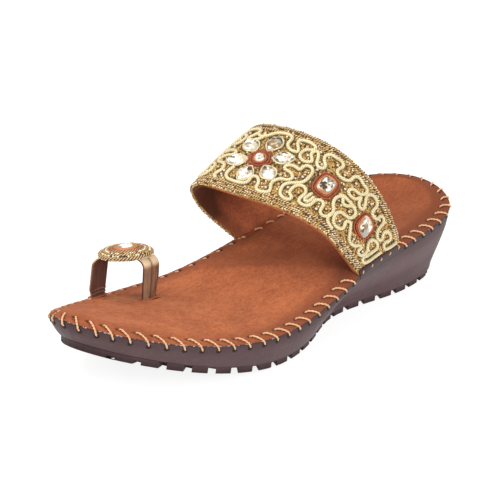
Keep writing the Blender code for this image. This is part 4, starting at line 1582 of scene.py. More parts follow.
    def build(self) -> None:
        """Make the footbed in place of its plain solid."""
        ways = self.rim.ring(self.count)
        seat = self.seat(ways)
        deepest = self.edge[-1][0]
        profile = np.array(self.edge)
        tangent = unit(np.gradient(profile, axis=0))
        plain = 1.0 - np.clip(seat, 0.0, 1.0)
        rings, dark = [], []
        inward = self.rim.inwards(ways)
        for (inset, up), (run, rise) in zip(profile, tangent):
            kept = seat + inset * (deepest - seat) / deepest
            place = self.rim.spot(ways, kept, up)
            out = np.concatenate([-inward * rise, np.full((len(ways), 1), run)], axis=1)
            dent, hole = self.stitch_marks(ways, np.full(len(ways), inset))
            bulge = 0.18 * ease((inset - 0.2) / 1.5) * ease((5.0 - inset) / 2.0)
            rings.append(place + out * ((bulge - dent) * plain * (up > 0.6))[:, None])
            dark.append(hole * plain * (up > 1.0))
        form = Form()
        half = self.count // 2
        grid = np.array(rings)
        inner = grid[-1]
        share = np.linspace(0.0, 1.0, self.columns + 1)
        left, right = inner[1:half], inner[-1:half:-1]
        bed = left[:, None] * (1 - share)[None, :, None] + right[:, None] * share[None, :, None]
        hollow = (1.0 - (2.0 * share - 1.0) ** 2)[None, :]
        lift = self.crest * window(bed[..., 1], self.crest_span)
        bed[..., 2] += hollow * (lift - self.cup * window(bed[..., 1], self.cup_span))
        flat = bed.reshape(-1, 3)
        rise, slit = self.slit_marks(flat[:, 0], flat[:, 1])
        fade = ease(np.minimum(share, 1.0 - share)[None, :] * 8.0 + np.zeros((len(bed), 1))).ravel()
        flat = flat + np.stack([np.zeros(len(flat))] * 2 + [rise + self.undulation(flat) * fade], axis=1)
        bed_start, width = len(profile) * self.count, self.columns + 1
        points = np.vstack([grid.reshape(-1, 3), flat])
        faces = lattice(len(profile), self.count, wrap_columns=True)
        faces += [[bed_start + k for k in face] for face in lattice(half - 1, width)]
        faces += self.seams(half, bed_start, width)
        # painted shade in the stitch holes, beside the stitches, in the slits and in the crease between the
        # loop's feet
        marks = np.concatenate([np.array(dark).ravel(), slit])
        reach = np.linalg.norm(left - right, axis=1)[:, None] * np.minimum(share, 1.0 - share)[None, :]
        insets = np.concatenate([np.repeat(profile[:, 0], self.count), deepest + reach.ravel()])
        # painted light between and round the loop's feet, which lifts the shadow that the medallion casts
        # there
        feet = self.loop.feet()
        step = unit(feet[1] - feet[0])
        off = points[:, :2] - feet.mean(axis=0)
        run, side = off @ step, off @ np.array((-step[1], step[0]))
        rub = 0.45 * np.exp(-((run / 21.0) ** 4) - (side / 5.5) ** 2) * (1.0 - marks)
        form.add(world(points), faces, hollow=marks, wear=self.wear(points, insets), rub=rub)
        obj = form.piece("footbed", Finish.FOOTBED, "suede", sharp=75.0)
        tended(obj.data, 0.02 * MM)
        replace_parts(obj, "insole")

    def seams(self, half: int, bed_start: int, width: int) -> list[list[int]]:
        """Faces that join the bed to its ring, and that close the underside.

        Args:
            half: Points on one side of a ring.
            bed_start: Index of the bed's first point.
            width: Points in a row of the bed.

        Returns:
            The faces.
        """
        count = self.count
        last = bed_start - count
        faces = []
        for tip, row in ((last, 0), (last + half, half - 2)):
            first = bed_start + row * width
            faces += [[tip, first + j, first + j + 1] for j in range(width - 1)]
        faces += [[i, i + 1, count - i - 1, count - i] for i in range(1, half - 1)]
        return [*faces, [half - 1, half, count - half + 1], [0, 1, count - 1]]


@dataclass
class SoleDress:
    """Finishes of the moulded sole, its lips round the strap, and the suede's cut backing."""

    rim: Rim
    strap: StrapSurface
    lip_height: float = 3.3
    # section of a lip: share of its height and lift off the strap
    lip: tuple[Pair, ...] = (
        (0.0, 0.05), (1.0, 0.05), (1.06, 0.4), (0.98, 0.75), (0.8, 0.95), (0.4, 0.95), (0.0, 0.75)
    )
    # its root in the wall: depth under the rim and out of the wall
    root: tuple[Pair, ...] = ((0.9, 0.22), (2.2, -0.25), (1.5, -0.9))
    lip_steps: int = 90
    # section of the backing: inset from the rim and height over it
    backing: tuple[Pair, ...] = (
        (1.6, 0.04), (0.12, 0.04), (-0.02, 0.2), (-0.02, 0.5), (0.2, 0.66), (1.6, 0.66),
    )
    backing_steps: int = 560

    def build(self, nodes: Mapping[str, bpy.types.Object]) -> None:
        """Dress the sole and add what is moulded or glued onto it.

        Args:
            nodes: CAD nodes by name.
        """
        for name, finish in (("midsole", Finish.WALL), ("outsole", Finish.TREAD)):
            for holder in nodes[name].material_slots:
                holder.material = finish.material()
        self.raw_edge()
        self.lips()

    def raw_edge(self) -> None:
        """Make the cut edge of the backing under the suede."""
        ways = self.rim.ring(self.backing_steps)
        wave = 0.12 * np.sin(ways * 0.9) + 0.08 * np.sin(ways * 2.3 + 1.0)
        rings = [self.rim.spot(ways, inset + wave * (inset < 1.0), up) for inset, up in self.backing]
        torn = np.tile(ease((self.rim.read(ways)[:, 1] - 150.0) / 60.0), len(rings))
        form = Form()
        form.add(world(np.array(rings)), lattice(len(rings), len(ways), True, True), torn=torn)
        form.piece("backing_edge", Finish.RAW_EDGE, "suede")

    def lips(self) -> None:
        """Make the moulded lips that hold the strap's feet."""
        form = Form()
        for medial in (False, True):
            b = np.linspace(0.4, self.strap.band - 0.4, self.lip_steps)
            tall = self.lip_height * (ease((b + 0.4) / 3.0) * ease((self.strap.band + 0.4 - b) / 3.0))
            tall = tall + 0.18 * np.sin(b * 1.9) + 0.1 * np.sin(b * 4.3 + 2.0)
            rings = []
            for share, lift in self.lip:
                a = tall * share
                rings.append(self.strap.lay(self.strap.girth - a if medial else a, b, lift)[0])
            front, rear = self.strap.feet(medial)
            ways = self.rim.at_along(medial, front + (rear - front) * b / self.strap.band)
            rings += [world(self.rim.wall(ways, depth, out)) for depth, out in self.root]
            count = len(b)
            ends = [[k * count + end for k in range(len(rings))] for end in (0, count - 1)]
            form.add(np.array(rings), [*lattice(len(rings), count, wrap_rows=True), ends[0], ends[1][::-1]])
        form.piece("strap_lips", Finish.WALL, "wall_rubber", sharp=70.0)


# Strap


@dataclass
class Strap:
    """Cloth and lining of the instep strap."""

    surface: StrapSurface
    cloth_depth: float = 1.2
    cloth_steps: tuple[int, int] = (300, 86)
    lining_inset: float = 0.25
    lining_steps: tuple[int, int] = (220, 44)

    @staticmethod
    def nearness(a: Array, b: Array, marks: Array) -> Array:
        """How close places lie to the couched work, from 0 to 1.

        Args:
            a: Millimetres round.
            b: Millimetres along.
            marks: Places round and along of the work and its half-width.

        Returns:
            1 under it, falling to 0 a little outside.
        """
        out = np.zeros(a.shape)
        for row, x in enumerate(a[:, 0]):
            part = marks[(marks[:, 0] > x - 2.6) & (marks[:, 0] < x + 2.6)]
            if len(part):
                gap = np.hypot(x - part[:, 0], b[row][:, None] - part[:, 1]) - part[:, 2]
                out[row] = bell(np.clip(gap.min(axis=1), 0.0, None), 0.42)
        return out

    def shell(
        self, top: float, bottom: float, inset: float, steps: tuple[int, int], marks: Array | None = None
    ) -> Form:
        """Make one layer of the strap with rounded edges.

        Args:
            top: Lift of its outer face.
            bottom: Lift of its inner face.
            inset: How far its edges lie inside the strap's.
            steps: Number of points round the strap and between its edges.
            marks: Work that lies on it, beside which the cloth gets painted shade.

        Returns:
            The closed form.
        """
        around, along = steps
        radius, middle = (top - bottom) / 2, (top + bottom) / 2
        turn = np.linspace(0.0, math.pi, 9)[1:-1]
        bow, rise = radius * np.sin(turn), radius * np.cos(turn)
        low, high = inset + radius, self.surface.band - inset - radius
        b_top = np.linspace(low, high, along)
        b = np.concatenate([b_top, high + bow, b_top[::-1], low - bow])
        lift = np.concatenate([np.full(along, top), middle + rise, np.full(along, bottom), middle - rise])
        grid_a, grid_b = np.meshgrid(np.linspace(0.0, self.surface.girth, around), b, indexing="ij")
        places, _ = self.surface.lay(grid_a, grid_b, np.broadcast_to(lift, grid_a.shape))
        form = Form()
        count = len(b)
        faces = lattice(around, count, wrap_columns=True)
        # each end is closed by quads between the two faces, and by a fan at each rounded edge
        across = 2 * along + len(turn) - 1
        for start in (0, (around - 1) * count):
            for k in range(along - 1):
                faces.append([start + k, start + k + 1, start + across - k - 1, start + across - k])
            faces.append([start + along - 1 + k for k in range(len(turn) + 2)])
            faces.append([start + (across + k) % count for k in range(len(turn) + 2)])
        if marks is None:
            # painted shade on the lining, inside the arch towards its front and along its front edge on the
            # big-toe side
            painted_shade_top = ease((44.0 - grid_b) / 34.0) * ease((152.0 - grid_a) / 26.0)
            painted_shade_top = painted_shade_top * ease((grid_a - 86.0) / 20.0)
            painted_shade_edge = 0.5 * ease((13.0 - grid_b) / 9.0) * ease((grid_a - 104.0) / 14.0)
            form.add(places, faces, wear=np.clip(0.9 * painted_shade_top + painted_shade_edge, 0.0, 0.88), hollow=0.0, rub=0.0)
        else:
            form.add(places, faces, near=self.nearness(grid_a, grid_b, marks))
        return form

    def build(self, marks: Array) -> None:
        """Make the cloth and the lining in place of the plain band.

        Args:
            marks: Couched work, beside which the cloth gets painted shade.
        """
        cloth = self.shell(0.0, -self.cloth_depth, 0.0, self.cloth_steps, marks)
        piece = cloth.piece("strap_cloth", Finish.CLOTH, "gold_cloth", sharp=70.0)
        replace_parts(piece, "instep_strap")
        below = -self.cloth_depth - 0.02
        lining = self.shell(below, -self.surface.wall, self.lining_inset, self.lining_steps)
        lining.piece("strap_lining", Finish.LINING, "suede", sharp=70.0)


def cushion_outline(length: float, width: float, count: int, power: float = 0.55) -> Array:
    """Square with bowed sides and round corners.

    Args:
        length: Size along X.
        width: Size along Y.
        count: Number of points.
        power: Roundness.

    Returns:
        Closed outline, anticlockwise.
    """
    angle = math.tau * (np.arange(count) + 0.5) / count
    x = length / 2 * np.sign(np.cos(angle)) * np.abs(np.cos(angle)) ** power
    y = width / 2 * np.sign(np.sin(angle)) * np.abs(np.sin(angle)) ** power
    return np.stack([x, y], axis=1)


def leaning(outline: Array, lean: float) -> Array:
    """Outline stretched along one diagonal and shortened along the other."""
    return outline @ np.array(((1.0, -lean), (-lean, 1.0)))


def petal_outline(length: float, width: float, steps: int = 6) -> Array:
    """Lens with two pointed ends.

    Args:
        length: Size along X.
        width: Size along Y.
        steps: Steps along one side.

    Returns:
        Closed outline, anticlockwise.
    """
    k = np.arange(1, steps)
    x = length / 2 * (1 - 2 * k / steps)
    y = width / 2 * np.sin(np.pi * k / steps) ** 0.85
    side = np.stack([x, y], axis=1)
    return np.vstack([[(length / 2, 0.0)], side, [(-length / 2, 0.0)], -side])


def round_outline(size: float, count: int) -> Array:
    """Circle of a size across, with some number of points."""
    angle = math.tau * np.arange(count) / count
    return np.stack([np.cos(angle), np.sin(angle)], axis=1) * size / 2


@dataclass
class Embroidery:
    """Cord, beads and stones that cover the strap.

    The cords' lines are places round the strap and along it in millimetres.
    """

    surface: StrapSurface
    cord_radius: float = 0.90
    cord_step: float = 0.42
    # line of symmetry, where the far side starts to be squeezed, and how much
    middle: float = 84.8
    squeeze_from: float = 140.0
    squeeze: float = 0.62
    front_cord: tuple[Pair, ...] = (
        (5.6, 26), (5.3, 18), (5.4, 11), (6.6, 8.4), (8.4, 9.2), (8.8, 13), (8.8, 19), (9.3, 24),
        (10.6, 25.6), (12.8, 25.4), (14.8, 23.6), (14.9, 20.6), (13.2, 18), (11.2, 15.8), (10.4, 12.4),
        (11, 9.6), (12.8, 8.8), (14.4, 10.4), (14.8, 13), (16, 13), (17.2, 10.8), (19, 8.8), (21.6, 8.5),
        (23.6, 9.8), (25.2, 12), (27.4, 14.4), (29.4, 16.6), (30.9, 15.8), (30.6, 13.2), (29.6, 10.6),
        (30.8, 8.4), (33, 7.8), (35.2, 9), (36.6, 11.6), (37.2, 14.4), (36, 16.6), (33.6, 17.2),
        (31.6, 18.2), (30.8, 20.6), (31.4, 23.4), (33.4, 24.8), (35.4, 24.4), (36.6, 22.4), (38.4, 21.6),
        (40, 23.4), (41.4, 24.4), (42.6, 22.6), (42.4, 19.4), (41.2, 17), (39.4, 14.8), (38.4, 12),
        (38.8, 9.2), (40.6, 7.6), (42.6, 8.6), (43.6, 11.2), (44.4, 13.6), (46.2, 14.6), (48.2, 13.4),
        (48.4, 10.4), (49.2, 7.8), (51.6, 6.8), (53.8, 7.8), (54.4, 10.6), (54.3, 13.6), (55.6, 15.7),
        (58, 16.6), (60.2, 15.2), (60.8, 12.4), (59.8, 9.4), (57.8, 7.8), (58.4, 6), (61, 5.9), (63.6, 7.4),
        (65, 10), (65.2, 13), (63.6, 15.2), (61, 16.8), (59.2, 18.8), (58.6, 22), (58.9, 25.6),
        (60.4, 28.2), (62.8, 28.6), (64.3, 26.8), (64.6, 24.6), (66.6, 24.9), (69.2, 25), (71.2, 23.6),
        (70.8, 21.8), (68.4, 21.2), (66, 20.2), (64.6, 18.4), (65.4, 16.4), (67.8, 15.6), (69.8, 14.6),
        (70.9, 12.8), (70.8, 10.4), (69.6, 8.2), (69.4, 6.2), (71.2, 5.2), (74.2, 5), (76.2, 6.2),
        (76.8, 8.6), (78, 10.8), (80.2, 12.2), (82, 11.4), (82, 8.8), (83.2, 6.9), (85.8, 6), (89.4, 6),
        (92.6, 6.5), (94.6, 8.4), (94.8, 11.4), (93.6, 14.2),
    )
    rear_cord: tuple[Pair, ...] = (
        (5.2, 43), (5, 38), (5.2, 33.5), (6.4, 30.4), (8.4, 30.6), (9.3, 33.5), (9, 37), (10.2, 38.6),
        (12.4, 38.4), (14.2, 36.4), (13.9, 33.6), (12.5, 31.8), (11.9, 29.6), (13, 28), (15.4, 28.6),
        (17.2, 31), (18.1, 34.5), (18.9, 37.6), (20.8, 39.2), (22.4, 37.6), (22.2, 34.8), (23.8, 33),
        (26, 33.1), (27, 35.2), (27.3, 38.4), (28.8, 40.6), (31.8, 41), (33.9, 39.2), (34, 36.4),
        (32.4, 33.6), (31, 31), (30.7, 29.2), (32, 28.3), (33.8, 29.3), (34.8, 31), (35.4, 33), (36, 31),
        (36.9, 29.3), (39.2, 28.6), (41.2, 29.7), (41.3, 31.8), (39.6, 33.4), (37.2, 33.8), (35.8, 35.8),
        (35.4, 38.4), (36.8, 40), (39.6, 40.2), (42.6, 41), (44.4, 39.4), (44.4, 36.4), (45.8, 34),
        (48.6, 33.3), (51, 34.4), (51.6, 36.8), (51.2, 39.4), (52.8, 41.3), (56, 41.4), (59, 41),
        (60.2, 39), (59, 36), (57, 33.6), (56.8, 31.9), (58.2, 30.8), (60.2, 31.8), (61.6, 34.4),
        (63, 37.4), (64.6, 38.8), (65.8, 37), (64.6, 34.2), (63.2, 32), (64.6, 30.4), (67.2, 30.4),
        (69.2, 32), (69.8, 34.6), (68.8, 37), (66.6, 38.4), (66.2, 40.2), (68.4, 41.5), (72, 41.7),
        (74.6, 40.6), (74.2, 38.2), (72.2, 35.6), (71.6, 33.8), (73.4, 33.2), (76.2, 34), (78, 36),
        (78.2, 38.8), (78.6, 40.8), (80.6, 41.8), (84.2, 41.6), (87, 40.6), (88.8, 38.8), (90.4, 37.2),
        (92.4, 36.6), (94.4, 37.8),
    )
    bridge_cord: tuple[Pair, ...] = ((33.4, 25.1), (36, 25.3), (38.6, 25.4), (41, 25.4), (43, 24.2))
    slant_cord: tuple[Pair, ...] = ((32.6, 4.9), (35, 5.6), (37.4, 7.2), (38.6, 9.6), (38.7, 11.6))
    inner_cord: tuple[Pair, ...] = (
        (50.1, 14), (50.2, 11.2), (51.2, 9.4), (52.3, 10.2), (52.4, 12.6), (52.2, 14.6)
    )
    # how far round each of the five lines is repeated on the big-toe side
    mirror_limits: tuple[float, ...] = (71.4, 78.4, 60.0, 60.0, 60.0)
    loop_beads: tuple[Pair, ...] = (
        (12.2, 12.5), (21.2, 12.2), (12.8, 21.5), (13, 36.2), (20.8, 36), (25.3, 38), (29.9, 36.6),
        (32.2, 31), (33.3, 12.2), (33.9, 21), (38.4, 30.8), (41.6, 37.2), (41.9, 12.4), (45.1, 9),
        (43, 29.6), (47.8, 36.3), (53.2, 38.2), (51.5, 10.5), (52, 15.4), (57, 12.2), (61.6, 9.8),
        (62.8, 12.6), (58.4, 29.3), (61, 21.6), (61.6, 24.8), (58.6, 33.4), (63, 39.6), (66.6, 34.4),
        (67.2, 28.2), (67.9, 12.4), (70.4, 17.8), (72.2, 8.2), (69.6, 38.8), (75.6, 37.4), (78.9, 9),
        (97.2, 10.6), (100, 12.8), (101, 24.8), (92, 39.6), (95, 40.2),
    )
    # place between the edges of each row, and radius of its beads or twist of its cord
    bead_rows: tuple[Pair, ...] = ((0.55, 0.46), (2.95, 0.5), (44.05, 0.5), (46.45, 0.46))
    edge_cords: tuple[Pair, ...] = ((1.65, 2.5), (4.25, 2.8), (42.75, 2.8), (45.35, 2.5))
    bead_pitch: float = 1.24
    cushions: tuple[Pair, ...] = ((0.145, 0.5), (0.315, 0.51), (0.755, 0.51), (0.915, 0.5))
    cushion_size: Triple = (7.3, 9.5, 2.6)
    # lean of the ring, its scale and lean of the stone
    leans: tuple[Triple, ...] = (
        (0.11, 1.0, 0.07), (0.08, 0.94, 0.0), (-0.08, 0.94, 0.0), (-0.11, 1.0, -0.07)
    )
    flower: Pair = (0.535, 0.49)
    flower_radius: float = 11.0
    flower_turn: float = math.radians(23.0)
    petal_size: Triple = (9.6, 7.0, 2.2)
    centre_size: Triple = (4.9, 4.9, 2.4)
    stone_lift: float = 0.35
    ring_power: float = 0.62
    # painted reflections: place round and along, reach each way, shade of the facets there
    glints: tuple[tuple[float, float, float, float, float], ...] = (
        (21.3, 19.6, 1.3, 1.1, 0.6), (23.5, 19.4, 0.7, 1.4, 0.95), (23.9, 22.2, 0.7, 1.8, 0.78),
        (24.4, 27.4, 2.4, 1.4, 0.45), (22.4, 26.8, 1.0, 1.0, 0.78), (47.6, 19.4, 1.4, 1.2, 0.78),
        (50.2, 21.2, 1.2, 0.8, 0.95), (52.0, 22.4, 1.1, 1.1, 0.95), (52.9, 24.8, 0.8, 1.9, 0.78),
        (52.3, 27.6, 0.9, 1.1, 0.95), (47.6, 26.4, 0.7, 0.9, 0.6), (50.6, 28.8, 1.4, 0.6, 0.78),
        (87.2, 12.4, 0.8, 1.7, 0.6), (84.8, 14.9, 0.9, 1.3, 0.95), (84.5, 11.6, 0.8, 1.1, 0.78),
        (89.4, 9.4, 1.1, 0.6, 0.78), (96.7, 18.1, 1.0, 0.7, 0.95), (92.4, 19.4, 1.4, 1.1, 0.45),
        (78.1, 17.2, 0.9, 0.8, 0.95), (79.6, 19.2, 1.0, 0.8, 0.95), (75.6, 17.6, 0.9, 1.6, 0.78),
        (77.0, 18.8, 1.4, 1.4, 0.45), (78.4, 26.0, 0.8, 1.4, 0.6), (77.0, 26.9, 0.8, 0.6, 0.95),
        (76.3, 29.4, 2.2, 1.1, 0.95), (82.6, 32.2, 1.9, 1.7, 0.78), (84.9, 32.2, 0.8, 1.3, 0.95),
        (81.7, 36.4, 1.1, 0.9, 0.95), (82.4, 34.8, 1.2, 0.8, 0.6), (91.0, 28.4, 1.5, 1.6, 0.45),
        (91.4, 31.1, 1.0, 0.7, 0.95), (97.2, 30.2, 0.8, 0.8, 0.78), (84.8, 23.2, 0.6, 1.2, 0.6),
    )
    # small beads: places tried, and least distance from a cord and from each other
    tries: int = 9000
    off_cord: float = 1.22
    off_bead: float = 1.12
    seed: int = 11

    def mirrored(self, a: Array) -> Array:
        """Places on the big-toe side that match places on the little-toe side.

        Args:
            a: Places round the strap.

        Returns:
            The matching places.
        """
        far = 2 * self.middle - a
        past = far - self.squeeze_from
        return np.where(past > 0.0, self.squeeze_from + past * self.squeeze, far)

    def lines(self) -> list[Array]:
        """Smooth lines of all the cords, both sides.

        Returns:
            Places round the strap and between its edges, line by line.
        """
        out = []
        charts = (self.front_cord, self.rear_cord, self.bridge_cord, self.slant_cord, self.inner_cord)
        for chart, limit in zip(charts, self.mirror_limits):
            points = np.array(chart, dtype=float)
            out += [points, self.far_side(points[points[:, 0] <= limit])]
        return [self.spaced(line, self.cord_step) for line in out]

    def far_side(self, places: Array) -> Array:
        """The same places on the big-toe side."""
        return np.column_stack([self.mirrored(places[:, 0]), places[:, 1]])

    @staticmethod
    def spaced(line: Array, step: float) -> Array:
        """Even points of the smooth line through some places."""
        dense = smooth_line(line, fine=12)
        return evenly(dense, max(8, int(lengths(dense, 2)[-1] / step)))

    def stone_places(self) -> list[Pair]:
        """Middles of the cushion-cut stones."""
        return [(u * self.surface.girth, v * self.surface.band) for u, v in self.cushions]

    def flower_place(self) -> Pair:
        """Middle of the flower."""
        return self.flower[0] * self.surface.girth, self.flower[1] * self.surface.band

    def petal_places(self) -> list[Triple]:
        """Middle and turn of each petal.

        Returns:
            Place round the strap, place between its edges and angle.
        """
        a, b = self.flower_place()
        out = []
        for number in range(6):
            angle = self.flower_turn + math.tau * number / 6
            reach = self.flower_radius
            out.append((a + reach * math.cos(angle), b - reach * math.sin(angle), angle))
        return out

    def build(self) -> None:
        """Make the cords, beads and stones."""
        lines = self.lines()
        self.cords(lines)
        self.rows_of_beads()
        self.scatter(lines)
        self.settings()
        self.stones()

    def cords(self, lines: Sequence[Array]) -> None:
        """Make the couched cords.

        Args:
            lines: Their lines on the strap.
        """
        form = Form()
        for line in lines:
            path, out = self.surface.lay(line[:, 0], line[:, 1], self.cord_radius * 0.72)
            form.tube(path, out, self.cord_radius * MM, sides=10, lobes=3, pitch=3.2, depth=0.16)
        form.piece("couched_cord", Finish.CORD, "gold_cloth")

    def rows_of_beads(self) -> None:
        """Make the bead rows of both edges."""
        rng = np.random.default_rng(self.seed)
        form, cord = Form(), Form()
        for b, radius in self.bead_rows:
            self.bead_row(form, rng, b, radius)
        for b, pitch in self.edge_cords:
            a = np.arange(4.2, self.surface.girth - 4.0, 0.3)
            side = b + 0.1 * np.sin(a * 0.7 + b) + 0.07 * np.sin(a * 2.1)
            path, out = self.surface.lay(a, side, 0.34)
            cord.tube(path, out, 0.62 * MM, sides=9, lobes=2, pitch=pitch, depth=0.38)
        form.piece("edge_beads", Finish.BEADS, "gold_beads")
        cord.piece("edge_cords", Finish.EDGE_CORD, "gold_beads")

    def bead_row(self, form: Form, rng: np.random.Generator, b: float, radius: float) -> None:
        """Add one row of beads.

        Args:
            form: Form that holds them.
            rng: Source of small differences.
            b: Place between the edges.
            radius: Radius of a bead.
        """
        a = np.arange(4.4, self.surface.girth - 4.0, self.bead_pitch) + rng.uniform(-0.12, 0.12)
        a = a + rng.normal(0.0, 0.08, len(a))
        side = b + rng.normal(0.0, 0.08, len(a))
        size = radius * rng.uniform(0.82, 1.1, len(a))
        places, normals = self.surface.lay(a, side, size * 0.5)
        tone = rng.choice([0.12, 0.5, 0.9], len(a), p=[0.34, 0.34, 0.32])
        form.beads(places, normals, size * MM, tone, 0.9)

    def scatter(self, lines: Sequence[Array]) -> None:
        """Make the beads inside the cord's loops and the small ones between the cords.

        Args:
            lines: The cords' lines, which the beads keep off.
        """
        rng = np.random.default_rng(self.seed + 1)
        held = self.held_beads()
        form = Form()
        places, normals = self.surface.lay(held[:, 0], held[:, 1], 0.45)
        form.beads(places, normals, 0.8 * MM, rng.choice([0.5, 1.0], len(held), p=[0.25, 0.75]), 0.8)
        under, up = self.surface.lay(held[:, 0], held[:, 1], 0.05)
        form.beads(under, up, 1.25 * MM, 0.03, 0.25)
        taken = np.vstack([*lines, held])
        clear = [(*place, 6.6, 8.6) for place in self.stone_places()]
        clear += [(a, b, 4.4, 4.4) for a, b, _ in self.petal_places()] + [(*self.flower_place(), 6.2, 6.2)]
        found: list[Pair] = []
        for a, b in rng.uniform((4.8, 5.2), (self.surface.girth - 4.4, 42.2), (self.tries, 2)):
            if any(((a - x) / rx) ** 2 + ((b - y) / ry) ** 2 < 1.0 for x, y, rx, ry in clear):
                continue
            if np.min((taken[:, 0] - a) ** 2 + (taken[:, 1] - b) ** 2) < self.off_cord**2:
                continue
            if found and np.min(np.sum((np.array(found) - (a, b)) ** 2, axis=1)) < self.off_bead**2:
                continue
            found.append((a, b))
        small = np.array(found)
        size = rng.uniform(0.36, 0.58, len(small))
        places, normals = self.surface.lay(small[:, 0], small[:, 1], 0.22)
        tone = rng.choice([0.1, 0.5, 0.9], len(small), p=[0.36, 0.50, 0.14])
        form.beads(places, normals, size * MM, tone, 0.85)
        LOG.info("small beads between the cords: %d", len(small))
        form.piece("ground_beads", Finish.BEADS, "gold_beads")

    @staticmethod
    def cushion_cords(red: Form, peach: Form) -> tuple[tuple[Pair, float, Form, float], ...]:
        """Size, radius, form and lift of each cord round a cushion-cut stone.

        Args:
            red: Form of the red cords.
            peach: Form of the peach cords.

        Returns:
            A row for each cord.
        """
        return (
            ((11.4, 15.2), 0.37, red, 0.35),
            ((9.1, 12.6), 0.38, red, 0.7),
            ((7.7, 10.9), 0.36, peach, 1.1),
            ((6.9, 9.8), 0.26, peach, 1.5),
        )

    def footprint(self) -> Array:
        """Places and half-widths of all that is couched on the cloth.

        Returns:
            Rows of round, between the edges and half-width.
        """
        shapes = [(line[::2], self.cord_radius) for line in self.lines()]
        for centre in self.stone_places():
            for scale in (1.0, 0.7, 0.35):
                ring = cushion_outline(11.2 * scale, 15.2 * scale, 48, self.ring_power)
                shapes.append((centre + ring * (1.0, -1.0), 0.9))
        for place in [*(row[:2] for row in self.petal_places()), self.flower_place()]:
            for reach in (1.0, 3.0, 4.6):
                shapes.append((place + round_outline(2 * reach, 24) * (1.0, -1.0), 0.5))
        shapes.append((self.held_beads(), 1.0))
        return np.vstack([np.column_stack([places, np.full(len(places), half)]) for places, half in shapes])

    def held_beads(self) -> Array:
        """Places of the beads inside the cord's loops, both sides."""
        held = np.array(self.loop_beads)
        return np.vstack([held, self.far_side(held[held[:, 0] < 80.0])])

    def settings(self) -> None:
        """Make the cords round the stones."""
        red, peach, pale = Form(), Form(), Form()
        for centre, (lean, scale, _) in zip(self.stone_places(), self.leans):
            for size, radius, form, lift in self.cushion_cords(red, peach):
                ring = smooth_line(cushion_outline(*size, 16, self.ring_power), closed=True, fine=6)
                outline = leaning(evenly(ring, 97)[:-1] * scale, lean)
                path, out = self.surface.round_stone(centre, outline, lift)
                form.tube(path, out, radius * MM, sides=8, lobes=2, pitch=2.4, depth=0.22, closed=True)
        centre = self.flower_place()
        for reach, point, radius, form, lift in (
            (2.7, 0.0, 0.30, peach, 1.1),
            (3.35, 0.05, 0.30, red, 0.9),
            (4.35, 0.25, 0.30, red, 0.6),
            (5.35, 0.8, 0.28, red, 0.35),
        ):
            angle = np.linspace(0.0, math.tau, 97)[:-1]
            between = np.abs(np.cos(3.0 * (angle - self.flower_turn - math.pi / 6))) ** 3
            size = reach + point * between
            outline = np.stack([np.cos(angle) * size, np.sin(angle) * size], axis=1)
            path, out = self.surface.round_stone(centre, outline, lift)
            form.tube(path, out, radius * MM, sides=8, lobes=2, pitch=2.2, depth=0.22, closed=True)
        for a, b, angle in self.petal_places():
            outline = petal_outline(self.petal_size[0] + 1.0, self.petal_size[1] + 0.7, 10)
            turn = np.array(((math.cos(angle), math.sin(angle)), (-math.sin(angle), math.cos(angle))))
            path, out = self.surface.round_stone((a, b), outline @ turn, 0.6)
            pale.tube(path, out, 0.46 * MM, sides=8, lobes=2, pitch=2.0, depth=0.15, closed=True)
        red.piece("stone_cords_red", Finish.RED_CORD, "gold_beads")
        peach.piece("stone_cords_peach", Finish.PEACH_CORD, "gold_beads")
        pale.piece("petal_cords", Finish.CORD, "gold_beads")

    def stones(self) -> None:
        """Make the cut stones in place of their plain solids."""
        for number, (u, v) in enumerate(self.cushions, 1):
            frame = self.surface.frame(u, v, self.stone_lift)
            spots = self.glints_near(u * self.surface.girth, v * self.surface.band, 0.0)
            outline = leaning(cushion_outline(*self.cushion_size[:2], 16), self.leans[number - 1][2])
            cut = CutStone(outline, self.cushion_size[2], self.seed + number, spots)
            cut.build(f"cushion_stone_{number}", frame, f"cushion_crystal_{number}")
        frame = self.surface.frame(*self.flower, self.stone_lift)
        spots = self.glints_near(*self.flower_place(), 0.0)
        cut = CutStone(round_outline(self.centre_size[0], 12), self.centre_size[2], self.seed + 10, spots)
        cut.build("flower_centre_stone", frame, "flower_crystal_centre")
        for number, (a, b, angle) in enumerate(self.petal_places(), 1):
            frame = self.surface.frame(a / self.surface.girth, b / self.surface.band, self.stone_lift)
            frame = frame @ Matrix.Rotation(angle, 4, "Z")
            spots = self.glints_near(a, b, angle)
            length, width, height = self.petal_size
            cut = CutStone(petal_outline(length, width), height, self.seed + 20 + number, spots)
            cut.build(f"petal_stone_{number}", frame, f"flower_petal_{number}")

    def glints_near(self, a: float, b: float, angle: float) -> list[Four]:
        """Darker facets of one stone, as painted reflections, in the stone's own frame.

        Args:
            a: Its place round the strap.
            b: Its place along the strap.
            angle: Its turn.

        Returns:
            Place, reach and shade of each.
        """
        cos, sin = math.cos(angle), math.sin(angle)
        out = []
        for x, y, reach_a, reach_b, tone in self.glints:
            x, y = x - a, b - y
            for part in np.linspace(-0.6, 0.6, 3):
                near, far = x + part * reach_a * (reach_a > reach_b), y + part * reach_b * (reach_b > reach_a)
                if math.hypot(near, far) < 7.5:
                    out.append((near * cos + far * sin, far * cos - near * sin, min(reach_a, reach_b), tone))
        return out


